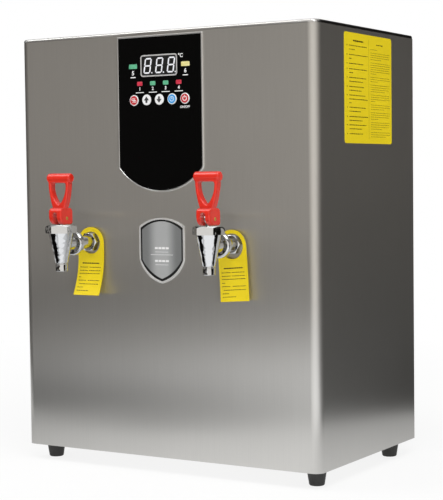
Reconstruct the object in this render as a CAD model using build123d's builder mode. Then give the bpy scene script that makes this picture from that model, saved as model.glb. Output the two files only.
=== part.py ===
from build123d import *
import os
from math import cos, pi, radians, sin, tan

# Counter-top hot water urn: a bent stainless cabinet on four rubber feet, a keypad and a
# three-digit display on the front, and two self-lifting cam taps with red loop levers.
# Millimetres. +Z is up, the front faces -Y, and z = 0 is the surface that the feet stand on.
# X = Y = 0 is the middle of everything, from the tap nuts in front to the pipe ends behind.

os.makedirs("parts", exist_ok=True)

# ---------------------------------------------------------------- driving dimensions
width = 450.0
depth = 280.0
foot_height = 21.0
cabinet_height = 548.0
front_y = -108.0  # outer face of the front sheet
sheet = 1.0  # casing steel
fit_gap = 0.3  # between pieces that only lie beside each other
bore_gap = 0.06  # radial clearance of a running fit

back_y = front_y + depth
middle_y = (front_y + back_y) / 2
base_z = foot_height
top_z = base_z + cabinet_height

# Casing
bend_radius = 12.0  # the two upright front bends
rear_flange = 14.0  # width of the wrap's inward rear flanges
cover_rim = 4.0  # visible height of the top cover
cover_edge_radius = 2.8
cover_skirt = 14.0
pan_wall = 16.0
wrap_top_z = top_z - cover_rim - fit_gap
wrap_back_y = back_y - sheet
inner_half_width = width / 2 - sheet

# Feet and screws
foot_span_x, foot_span_y = 405.0, 212.0
foot_top_d, foot_bottom_d, foot_edge = 25.0, 19.0, 2.0
foot_recess_d, foot_recess_depth = 10.0, 9.0
screw_r, screw_head_r, screw_head_h = 1.95, 4.0, 2.6
screw_hole_r = 2.0
panel_screw_length, foot_screw_length = 10.0, 20.0

# Control panel, heights from the cabinet's bottom edge
panel_half_width = 65.0
panel_top, panel_shoulder, panel_low = 541.7, 373.0, 342.2
trim_width, trim_height = 2.0, 1.6
overlay_thickness = 1.4
window_half_width, window_low, window_high = 50.0, 446.0, 524.0

display_x, display_z = -0.3, 503.1
display_w, display_h = 56.0, 27.8
bezel_width, bezel_corner, bezel_proud = 1.7, 4.0, 0.5
module_depth = 8.0
digit_x, digit_pitch = 0.6, 17.8
digit_w, digit_h, stroke, digit_slant = 8.8, 18.0, 1.9, 8.5
segment_end_gap, segment_proud = 0.25, 0.15
decimal_dx, decimal_r = 6.3, 0.95

key_z, key_pitch, key_r = 459.9, 19.4, 6.8
key_names = ("heat", "up", "down", "set", "power")
key_proud, key_travel, key_gap = 0.7, 0.5, 0.3
key_flange_r, key_flange_t, key_stem_r = 8.3, 0.8, 2.0

lamp_big, lamp_small = (12.6, 5.8), (8.2, 5.3)
lamp_big_x, lamp_big_z = 39.9, 503.1
lamp_small_x, lamp_small_z = (-29.8, -9.8, 9.9, 29.7), 480.8
lamp_proud, lamp_depth = 0.4, 6.0

board_offset, board_t = 8.6, 1.6
board_half_width, board_low, board_high = 56.0, 434.0, 530.0
switch_side, switch_t, plunger_r, plunger_t = 6.0, 4.0, 1.7, 0.9

# Front shield plate, heights from the cabinet's bottom edge
shield_half_width, shield_top, shield_crown = 34.4, 298.4, 309.2
shield_side_low, shield_tip, shield_t = 255.4, 225.2, 0.6
shield_rim, shield_rim_proud = 2.0, 0.35

# Taps: heights from the shank axis, forward distances from the front sheet
tap_spacing, shank_height = 218.0, 277.5
spout_reach = {"left": 68.0, "right": 62.0}  # the right tap is screwed in further
tip_low, tip_step, tip_r = -34.8, -26.0, 7.7
cone_low, cone_low_r, cone_top, cone_top_r = -24.0, 8.1, 13.8, 16.0
neck_r, neck_top = 11.0, 20.6
chamber_r, seat_z, seat_r, outlet_r = 8.4, -6.0, 4.8, 5.6
arm_r, flange_y, flange_r, flange_t = 8.5, 20.8, 16.0, 6.5
barrel_r, shank_r, water_bore_r = 8.3, 7.9, 4.6
thread_start, shank_length = 50.0, 120.0  # from the spout's axis
dimple_r, dimple_depth, dimple_z, dimple_angle = 1.9, 0.9, -31.0, 26.0
bonnet_corner_r, bonnet_top, bonnet_roof = 20.25, 24.3, 21.2
bonnet_turns = {"left": 90, "right": 78}  # where each hexagon came to rest, in degrees
stem_r, pin_z, pin_r, eye_r, stem_flange_r = 3.0, 32.7, 2.2, 4.6, 6.4
cup_r, cup_top, stem_flange_t, stem_end_r = 7.0, 2.0, 1.6, 1.9
spring_mean_r, spring_wire_r, spring_turns = 5.0, 0.6, 4
cam_gap = 0.35  # cam to bonnet, over the whole turn
cam_lift = 5.0  # rise of the stem over the lever's quarter turn
block_half_width, block_rear, block_top = 9.8, 12.8, 46.0
slot_half_width, slot_top, slot_rear = 3.5, 41.0, 5.6
loop_depth, loop_neck, loop_half_neck = 10.5, 43.0, 8.2
loop_half_mid, loop_mid, loop_half_top = 13.9, 61.5, 16.0
hole_half_mid, hole_mid, hole_half_top, hole_low = 9.0, 62.0, 11.2, 49.2
grip_r, grip_length, grip_top = 6.2, 37.0, 90.0
loop_round, hole_round, block_round = 2.0, 3.0, 2.0
grip_round = 3.0
wall_nut_flats, wall_nut_t, wall_washer_t, wall_washer_r = 22.4, 10.0, 1.5, 10.5
lock_nut_flats, lock_nut_t, tank_washer_r = 24.0, 6.0, 12.5

# Tags: hung on the wall nuts
tag_half_width, tag_length, tag_t = 20.5, 68.0, 0.7
tag_slack = 13.3  # from the shank axis to the top of the tag's hole
tag_bend_start = 14.0  # below the shank axis
tags = {
    "left": {"stand_off": 4.5, "curl": 13.0, "tilt": 0.0, "hole_r": 14.5},
    "right": {"stand_off": 8.5, "curl": 1.5, "tilt": 4.0, "hole_r": 15.9},
}

# Tank and its fittings, heights from the floor
shelf_z, shelf_t, shelf_flange = 245.0, 1.2, 22.0
tank_half_width, tank_front, tank_back = 190.0, 36.0, 34.0  # clear of front and back sheets
tank_low, tank_high, tank_wall, tank_corner, tank_rim = 247.0, 490.0, 1.2, 22.0, 8.0
jacket_t, jacket_high = 10.0, 484.0
heater_z, heater_flange_r, heater_flange_t = 300.0, 32.0, 4.0
element_r, element_half_gap, element_pitch, element_reach = 3.9, 12.0, 17.0, 165.0
pipe_r, pipe_wall = 8.0, 1.2
pipe_end_y = 196.0
overflow_x, overflow_y, overflow_z = 120.0, 100.0, 520.0
inlet_x, inlet_z, inlet_thread_r = 150.0, 100.0, 10.4
collar_r, collar_t, bead_t = 15.0, 4.0, 2.0
feed_r, feed_wall, feed_y = 5.0, 1.0, 90.0
drain_x, drain_z, drain_y = -150.0, 60.0, 90.0
gland_x, gland_z, gland_r, gland_bore_r = -60.0, 62.0, 10.0, 5.5

tap_xs = {"left": -tap_spacing / 2, "right": tap_spacing / 2}
spout_ys = {side: front_y - reach for side, reach in spout_reach.items()}
shank_z = base_z + shank_height


# ---------------------------------------------------------------- shared sketches
def facing_front(y):
    """The upright plane at depth y whose sketch reads (x, z) and whose normal points to the front."""
    return Plane.XZ.offset(-y)


def facing_back(y):
    """The upright plane at depth y whose normal points to the back; its local x runs towards -X."""
    return Plane(origin=(0, y, 0), x_dir=(-1, 0, 0), z_dir=(0, 1, 0))


def plan_outline(z, inset, rear_y, rear_radius=0.0, front_radius=bend_radius):
    """The cabinet's plan: a rectangle with two round front corners, drawn at height z."""
    with BuildSketch(Plane.XY.offset(z)) as plan:
        low_y, high_y = front_y + inset, rear_y - inset
        with Locations((0, (low_y + high_y) / 2)):
            Rectangle(width - 2 * inset, high_y - low_y)
        corners = plan.vertices().group_by(Axis.Y)
        fillet(corners[0], max(front_radius - inset, 0.5))
        if rear_radius > inset:
            fillet(plan.vertices().group_by(Axis.Y)[-1], rear_radius - inset)
    return plan.sketch


def panel_outline(y, inset):
    """The control panel: straight top and sides over one shallow arc, drawn at depth y."""
    with BuildSketch(facing_front(y)) as outline:
        half = panel_half_width
        with BuildLine():
            arc = ThreePointArc(
                (-half, base_z + panel_shoulder),
                (0, base_z + panel_low),
                (half, base_z + panel_shoulder),
            )
            Polyline(
                arc @ 1, (half, base_z + panel_top), (-half, base_z + panel_top), arc @ 0
            )
        make_face()
        low_corners = outline.vertices().group_by(Axis.Y)[0]
        fillet(low_corners, 8)
        fillet(outline.vertices().group_by(Axis.Y)[-1], 1.0)
        if inset:
            offset(amount=-inset)
    return outline.sketch


def hexagon_nut(centre, direction, flats, thickness, bore_r, angle=0.0):
    """A hexagon nut with 30-degree chamfers on both faces, standing on its plane."""
    plane = Plane(origin=centre, z_dir=direction)
    corner_r = flats / 2 / cos(pi / 6)
    drop = (corner_r - flats / 2 * 0.97) * tan(pi / 6)
    upright = Plane(origin=centre, x_dir=plane.x_dir, z_dir=plane.y_dir)
    with BuildPart() as nut:
        with BuildSketch(plane):
            RegularPolygon(corner_r, 6, rotation=angle)
            Circle(bore_r, mode=Mode.SUBTRACT)
        extrude(amount=thickness)
        with BuildSketch(upright):
            with BuildLine():
                Polyline(
                    (0, 0),
                    (flats / 2 * 0.97, 0),
                    (corner_r, -drop),
                    (corner_r, drop - thickness),
                    (flats / 2 * 0.97, -thickness),
                    (0, -thickness),
                    close=True,
                )
            make_face()
        revolve(axis=Axis(centre, direction), mode=Mode.INTERSECT)
    return nut.part


def pan_screw(seat, direction, length):
    """A pan-head screw: the head's flat side sits at seat and the shank runs along direction."""
    inward = Plane(origin=seat, z_dir=direction)
    with BuildPart() as screw:
        with BuildSketch(inward):
            Circle(screw_r)
        extrude(amount=length)
        with BuildSketch(inward):
            Circle(screw_head_r)
        extrude(amount=-screw_head_h)
        crown = screw.faces().sort_by(Axis(seat, direction))[0]
        chamfer(crown.edges(), 0.9)
        with BuildSketch(inward.offset(-screw_head_h)):
            Rectangle(4.6, 0.9)
            Rectangle(0.9, 4.6)
        extrude(amount=1.3, mode=Mode.SUBTRACT)
    return screw.part


# ---------------------------------------------------------------- casing
# Where the back panel's screws go: into the wrap's flanges, the cover's skirt and the base pan.
side_screw_x = width / 2 - sheet - 6.5
back_screws = [
    (x, z) for x in (-side_screw_x, side_screw_x) for z in (70.0, 215.0, 375.0, 535.0)
]
back_screws += [(x, top_z - cover_rim - 6.5) for x in (-130.0, 0.0, 130.0)]
back_screws += [(x, base_z + 10.0) for x in (-130.0, 0.0, 130.0)]
foot_spots = [
    (x, y)
    for x in (-foot_span_x / 2, foot_span_x / 2)
    for y in (middle_y - foot_span_y / 2, middle_y + foot_span_y / 2)
]

# Cabinet wrap: front and both sides bent from one sheet, with inward flanges behind.
with BuildPart() as cabinet_wrap:
    wrap_height = wrap_top_z - base_z
    extrude(plan_outline(base_z, 0, wrap_back_y), amount=wrap_height)
    extrude(
        plan_outline(base_z, sheet, wrap_back_y), amount=wrap_height, mode=Mode.SUBTRACT
    )
    with BuildSketch(facing_back(wrap_back_y)):
        with Locations((0, (base_z + wrap_top_z) / 2)):
            Rectangle(2 * (inner_half_width - rear_flange), wrap_height)
    extrude(amount=-2 * sheet, mode=Mode.SUBTRACT)
    with BuildSketch(facing_front(front_y)):
        with Locations((0, base_z + (window_low + window_high) / 2)):
            Rectangle(2 * window_half_width, window_high - window_low)
        with Locations(*((x, shank_z) for x in tap_xs.values())):
            Circle(shank_r + 0.25)
    extrude(amount=-2 * sheet, mode=Mode.SUBTRACT)
    with BuildSketch(facing_back(wrap_back_y)):
        with Locations(*((x, z) for x, z in back_screws[:8])):
            Circle(screw_hole_r)
    extrude(amount=-2 * sheet, mode=Mode.SUBTRACT)
cabinet_wrap.part.label = "cabinet_wrap"
export_step(cabinet_wrap.part, "parts/cabinet_wrap.step")

# Top cover: a pressed lid with a soft upper edge and a skirt that drops inside the wrap.
with BuildPart() as top_cover:
    rim_z = top_z - cover_rim
    extrude(plan_outline(rim_z, 0, back_y, 3.0), amount=cover_rim)
    fillet(top_cover.faces().sort_by(Axis.Z)[-1].outer_wire().edges(), cover_edge_radius)
    extrude(
        plan_outline(rim_z, 3.2, wrap_back_y),
        amount=cover_rim - 1.2,
        mode=Mode.SUBTRACT,
    )
    skirt_inset = sheet + fit_gap
    extrude(
        plan_outline(rim_z - cover_skirt, skirt_inset, wrap_back_y),
        amount=cover_skirt + 1.0,
    )
    extrude(
        plan_outline(rim_z - cover_skirt, skirt_inset + 2.0, wrap_back_y),
        amount=cover_skirt + cover_rim - 1.2,
        mode=Mode.SUBTRACT,
    )
    with BuildSketch(facing_back(back_y)):
        with Locations(*((x, z) for x, z in back_screws[8:11])):
            Circle(screw_hole_r)
    extrude(amount=-6, mode=Mode.SUBTRACT)
top_cover.part.label = "top_cover"
export_step(top_cover.part, "parts/top_cover.step")

# Back panel: a flat sheet with pressed-through vent slots and holes for the connections.
back_low, back_high = base_z + fit_gap, top_z - cover_rim - fit_gap
with BuildPart() as back_panel:
    with BuildSketch(facing_back(back_y)) as back_sketch:
        with Locations((0, (back_low + back_high) / 2)):
            Rectangle(width - 1.0, back_high - back_low)
        fillet(back_sketch.vertices(), 2)
        with Locations((-90, 460), (90, 460), (40, 150)):
            with GridLocations(0, 14, 1, 5):
                SlotOverall(70, 5, mode=Mode.SUBTRACT)
        with Locations((-overflow_x, overflow_z), (-drain_x, drain_z)):
            Circle(pipe_r + fit_gap, mode=Mode.SUBTRACT)
        with Locations((-inlet_x, inlet_z)):
            Circle(inlet_thread_r + fit_gap, mode=Mode.SUBTRACT)
        with Locations((-gland_x, gland_z)):
            Circle(gland_r + 0.15, mode=Mode.SUBTRACT)
        with Locations(*((x, z) for x, z in back_screws)):
            Circle(screw_hole_r + 0.1, mode=Mode.SUBTRACT)
    extrude(amount=-sheet)
back_panel.part.label = "back_panel"
export_step(back_panel.part, "parts/back_panel.step")

# Base pan: a shallow tray with air slots, turned up inside the wrap.
pan_inset = sheet + 0.2
with BuildPart() as base_pan:
    extrude(plan_outline(base_z, pan_inset, wrap_back_y), amount=pan_wall)
    extrude(
        plan_outline(base_z + sheet, pan_inset + sheet, wrap_back_y),
        amount=pan_wall,
        mode=Mode.SUBTRACT,
    )
    with BuildSketch(Plane.XY.offset(base_z)):
        with Locations(*foot_spots):
            Circle(screw_hole_r)
        with Locations((-90, middle_y - 20), (90, middle_y - 20)):
            with GridLocations(0, 14, 1, 5):
                SlotOverall(80, 5)
    extrude(amount=sheet, mode=Mode.SUBTRACT)
    with BuildSketch(facing_back(wrap_back_y)):
        with Locations(*((x, z) for x, z in back_screws[11:])):
            Circle(screw_hole_r)
    extrude(amount=-4, mode=Mode.SUBTRACT)
base_pan.part.label = "base_pan"
export_step(base_pan.part, "parts/base_pan.step")

# Feet: four tapered rubber bosses, each with a recess below for its screw.
with BuildPart() as feet:
    for x, y in foot_spots:
        spot = Plane(origin=(x, y, 0), x_dir=(1, 0, 0), z_dir=(0, -1, 0))
        with BuildSketch(spot) as foot_half:
            with BuildLine():
                Polyline(
                    (foot_recess_d / 2, 0),
                    (foot_bottom_d / 2, 0),
                    (foot_top_d / 2, foot_height - 2),
                    (foot_top_d / 2, foot_height),
                    (screw_hole_r + 0.2, foot_height),
                    (screw_hole_r + 0.2, foot_recess_depth),
                    (foot_recess_d / 2, foot_recess_depth),
                    close=True,
                )
            make_face()
            rim = foot_half.vertices().group_by(Axis.Y)[0].sort_by(Axis.X)[-1]
            fillet(rim, foot_edge)
        revolve(axis=Axis((x, y, 0), (0, 0, 1)))
feet.part.label = "feet"
export_step(feet.part, "parts/feet.step")

# Case screws: one size of pan-head screw through the back panel and through the feet.
with BuildPart() as case_screws:
    for x, z in back_screws:
        add(pan_screw((-x, back_y, z), (0, -1, 0), panel_screw_length))
    for x, y in foot_spots:
        add(pan_screw((x, y, foot_recess_depth), (0, 0, 1), foot_screw_length))
case_screws.part.label = "case_screws"
export_step(case_screws.part, "parts/case_screws.step")

# Tank shelf: a folded plate between the sides, with holes for the pipes and the bottom vents.
with BuildPart() as tank_shelf:
    shelf_low_y, shelf_high_y = front_y + 30, back_y - 8
    with BuildSketch(Plane.XY.offset(shelf_z)):
        with Locations((0, (shelf_low_y + shelf_high_y) / 2)):
            Rectangle(2 * inner_half_width - 0.4, shelf_high_y - shelf_low_y)
            RectangleRounded(220, 110, 20, mode=Mode.SUBTRACT)
        with Locations((drain_x, drain_y), (inlet_x, feed_y)):
            Circle(12, mode=Mode.SUBTRACT)
    extrude(amount=shelf_t)
    for side in (-1, 1):
        with BuildSketch(Plane.XY.offset(shelf_z)):
            with Locations(
                (side * (inner_half_width - 0.2 - shelf_t / 2), (shelf_low_y + shelf_high_y) / 2)
            ):
                Rectangle(shelf_t, shelf_high_y - shelf_low_y)
        extrude(amount=-shelf_flange)
tank_shelf.part.label = "tank_shelf"
export_step(tank_shelf.part, "parts/tank_shelf.step")

# ---------------------------------------------------------------- control panel
overlay_face_y = front_y - overlay_thickness
key_xs = {name: (i - 2) * key_pitch for i, name in enumerate(key_names)}
panel_z = base_z + key_z

# Panel trim: the bright frame round the overlay.
with BuildPart() as panel_trim:
    extrude(panel_outline(front_y, 0), amount=trim_height)
    extrude(panel_outline(front_y, trim_width), amount=trim_height, mode=Mode.SUBTRACT)
    chamfer(panel_trim.faces().sort_by(Axis.Y)[0].edges(), 0.4)
panel_trim.part.label = "panel_trim"
export_step(panel_trim.part, "parts/panel_trim.step")

# Panel overlay: one glossy plate with openings for the display, the lamps and the keys.
with BuildPart() as panel_overlay:
    extrude(panel_outline(front_y, trim_width + 0.05), amount=overlay_thickness)
    with BuildSketch(facing_front(front_y)):
        with Locations((display_x, base_z + display_z)):
            RectangleRounded(display_w, display_h, bezel_corner)
        with Locations((-lamp_big_x, base_z + lamp_big_z), (lamp_big_x, base_z + lamp_big_z)):
            RectangleRounded(lamp_big[0] + 0.1, lamp_big[1] + 0.1, 1.2)
        with Locations(*((x, base_z + lamp_small_z) for x in lamp_small_x)):
            RectangleRounded(lamp_small[0] + 0.1, lamp_small[1] + 0.1, 1.2)
        with Locations(*((x, panel_z) for x in key_xs.values())):
            Circle(key_r + key_gap)
    extrude(amount=overlay_thickness, mode=Mode.SUBTRACT)
panel_overlay.part.label = "panel_overlay"
export_step(panel_overlay.part, "parts/panel_overlay.step")

# Display bezel: a light rounded frame that stands just proud of the overlay.
with BuildPart() as display_bezel:
    with BuildSketch(facing_front(front_y)):
        with Locations((display_x, base_z + display_z)):
            RectangleRounded(display_w - 0.1, display_h - 0.1, bezel_corner)
            RectangleRounded(
                display_w - 2 * bezel_width,
                display_h - 2 * bezel_width,
                bezel_corner - bezel_width,
                mode=Mode.SUBTRACT,
            )
    extrude(amount=overlay_thickness + bezel_proud)
    chamfer(display_bezel.faces().sort_by(Axis.Y)[0].edges(), 0.3)
display_bezel.part.label = "display_bezel"
export_step(display_bezel.part, "parts/display_bezel.step")

# Display module: the moulded block behind the bezel, its face a little below the frame.
with BuildPart() as display_module:
    with BuildSketch(facing_front(overlay_face_y)):
        with Locations((display_x, base_z + display_z)):
            RectangleRounded(
                display_w - 2 * bezel_width - 0.1,
                display_h - 2 * bezel_width - 0.1,
                bezel_corner - bezel_width,
            )
    extrude(amount=-module_depth)
display_module.part.label = "display_module"
export_step(display_module.part, "parts/display_module.step")

# Display segments: three slanted seven-segment digits, each with its decimal point.
lean = tan(radians(digit_slant))


def segment_corners(start, end):
    """The six corners of one bar with pointed ends, before the digit is slanted."""
    along = (Vector(*end) - Vector(*start)).normalized()
    across = Vector(-along.Y, along.X) * (stroke / 2)
    near = Vector(*start) + along * segment_end_gap
    far = Vector(*end) - along * segment_end_gap
    inset = along * (stroke / 2)
    return [near, near + inset + across, far - inset + across, far, far - inset - across,
            near + inset - across]


half_w, half_h = digit_w / 2, digit_h / 2
segment_lines = (
    ((-half_w, half_h), (half_w, half_h)),
    ((-half_w, 0), (half_w, 0)),
    ((-half_w, -half_h), (half_w, -half_h)),
    ((-half_w, 0), (-half_w, half_h)),
    ((half_w, 0), (half_w, half_h)),
    ((-half_w, -half_h), (-half_w, 0)),
    ((half_w, -half_h), (half_w, 0)),
)
with BuildPart() as display_segments:
    for digit in (-1, 0, 1):
        centre_x = digit_x + digit * digit_pitch
        with BuildSketch(facing_front(overlay_face_y)):
            for start, end in segment_lines:
                with BuildLine():
                    Polyline(
                        *(
                            (centre_x + c.X + lean * c.Y, base_z + display_z + c.Y)
                            for c in segment_corners(start, end)
                        ),
                        close=True,
                    )
                make_face()
            with Locations((centre_x + decimal_dx, base_z + display_z - half_h)):
                Circle(decimal_r)
        extrude(amount=segment_proud)
display_segments.part.label = "display_segments"
export_step(display_segments.part, "parts/display_segments.step")


def lens_row(spots, size):
    """Rounded lenses at spots (x, z) that pass through the overlay and stand a little proud."""
    with BuildPart() as lenses:
        with BuildSketch(facing_front(overlay_face_y - lamp_proud)):
            with Locations(*spots):
                RectangleRounded(size[0], size[1], 1.2)
        extrude(amount=-lamp_depth)
        chamfer(lenses.faces().group_by(Axis.Y)[0].edges(), 0.3)
    return lenses.part


# Lamp lenses: one large green, one large yellow, and a row of four small ones.
small_spots = [(x, base_z + lamp_small_z) for x in lamp_small_x]
with BuildPart() as lamps_green:
    add(lens_row([(-lamp_big_x, base_z + lamp_big_z)], lamp_big))
    add(lens_row(small_spots[1:3], lamp_small))
lamps_green.part.label = "lamps_green"
export_step(lamps_green.part, "parts/lamps_green.step")

with BuildPart() as lamps_red:
    add(lens_row([small_spots[0], small_spots[3]], lamp_small))
lamps_red.part.label = "lamps_red"
export_step(lamps_red.part, "parts/lamps_red.step")

with BuildPart() as lamp_yellow:
    add(lens_row([(lamp_big_x, base_z + lamp_big_z)], lamp_big))
lamp_yellow.part.label = "lamp_yellow"
export_step(lamp_yellow.part, "parts/lamp_yellow.step")

# Keys: round caps with a retaining flange behind the overlay and a stem towards the board.
board_y = front_y + board_offset
switch_face_y = board_y - switch_t
stem_end_y = switch_face_y - plunger_t - key_travel - 0.2
for name, x in key_xs.items():
    key_axis = Axis((x, front_y, panel_z), (0, 1, 0))
    with BuildPart() as key:
        with BuildSketch(Plane(origin=(x, 0, panel_z), x_dir=(0, 1, 0), z_dir=(1, 0, 0))):
            with BuildLine():
                Polyline(
                    (overlay_face_y - key_proud, 0),
                    (overlay_face_y - key_proud, key_r - 0.6),
                    (overlay_face_y - key_proud + 0.6, key_r),
                    (front_y + 0.25, key_r),
                    (front_y + 0.25, key_flange_r),
                    (front_y + 0.25 + key_flange_t, key_flange_r),
                    (front_y + 0.25 + key_flange_t, key_stem_r),
                    (stem_end_y, key_stem_r),
                    (stem_end_y, 0),
                    close=True,
                )
            make_face()
        revolve(axis=key_axis)
    key.part.label = f"key_{name}"
    export_step(key.part, f"parts/{key.part.label}.step")

# Control board: the circuit board with its five push switches, relays and transformer.
with BuildPart() as control_board:
    with BuildSketch(facing_back(board_y)):
        with Locations((0, base_z + (board_low + board_high) / 2)):
            Rectangle(2 * board_half_width, board_high - board_low)
        with Locations((0, base_z + (board_low + board_high) / 2)):
            with GridLocations(2 * board_half_width - 8, board_high - board_low - 8, 2, 2):
                Circle(1.7, mode=Mode.SUBTRACT)
    extrude(amount=board_t)
    with BuildSketch(facing_front(board_y)):
        with Locations(*((x, panel_z) for x in key_xs.values())):
            Rectangle(switch_side, switch_side)
    extrude(amount=switch_t)
    with BuildSketch(facing_front(switch_face_y)):
        with Locations(*((x, panel_z) for x in key_xs.values())):
            Circle(plunger_r)
    extrude(amount=plunger_t)
    with BuildSketch(facing_back(board_y + board_t)):
        with Locations((-34, base_z + 508), (-10, base_z + 508)):
            Rectangle(19, 15)
        with Locations((26, base_z + 500)):
            Rectangle(30, 26)
        with Locations((0, base_z + 448)):
            Rectangle(60, 8)
    extrude(amount=14)
control_board.part.label = "control_board"
export_step(control_board.part, "parts/control_board.step")

# Board spacers: four hexagon stand-offs between the front sheet and the board.
with BuildPart() as board_spacers:
    with BuildSketch(facing_back(front_y + sheet)):
        with Locations((0, base_z + (board_low + board_high) / 2)):
            with GridLocations(2 * board_half_width - 8, board_high - board_low - 8, 2, 2):
                RegularPolygon(3.0, 6)
    extrude(amount=board_offset - sheet)
board_spacers.part.label = "board_spacers"
export_step(board_spacers.part, "parts/board_spacers.step")


def shield_outline(y, inset=0.0):
    """A heater shield: a crowned top, straight sides and two arcs that meet at the tip."""
    with BuildSketch(facing_front(y)) as outline:
        half = shield_half_width
        with BuildLine():
            top = ThreePointArc(
                (-half, base_z + shield_top), (0, base_z + shield_crown), (half, base_z + shield_top)
            )
            right = Line(top @ 1, (half, base_z + shield_side_low))
            tip = (0, base_z + shield_tip)
            low_right = ThreePointArc(right @ 1, (half * 0.68, base_z + shield_tip + 12.4), tip)
            low_left = ThreePointArc(
                low_right @ 1, (-half * 0.68, base_z + shield_tip + 12.4),
                (-half, base_z + shield_side_low),
            )
            Line(low_left @ 1, top @ 0)
        make_face()
        fillet(outline.vertices().group_by(Axis.Y)[-1], 2.5)
        if inset:
            offset(amount=-inset)
    return outline.sketch


# Shield plate: a blank metal plate with a raised bright rim, bonded between the taps.
with BuildPart() as shield_plate:
    extrude(shield_outline(front_y), amount=shield_t)
    extrude(shield_outline(front_y), amount=shield_t + shield_rim_proud)
    extrude(
        shield_outline(front_y - shield_t, shield_rim),
        amount=shield_rim_proud,
        mode=Mode.SUBTRACT,
    )
shield_plate.part.label = "shield_plate"
export_step(shield_plate.part, "parts/shield_plate.step")

# ---------------------------------------------------------------- taps
# The lever is a cam. Its lowest point must stay cam_gap above the bonnet while the coupling
# lifts the pin by cam_rate for every radian, so the cam is the curve whose support distance
# from the pin grows at that constant rate: an involute of a circle of radius cam_rate.
cam_rate = cam_lift / (pi / 2)
cam_low = pin_z - bonnet_top - cam_gap
cam_front = cam_low + cam_lift


def cam_point(turn):
    """The point of the cam that touches lowest when the lever has turned by this angle."""
    reach = cam_low + cam_rate * turn
    return (
        -reach * sin(turn) - cam_rate * cos(turn),
        pin_z - reach * cos(turn) + cam_rate * sin(turn),
    )


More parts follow.
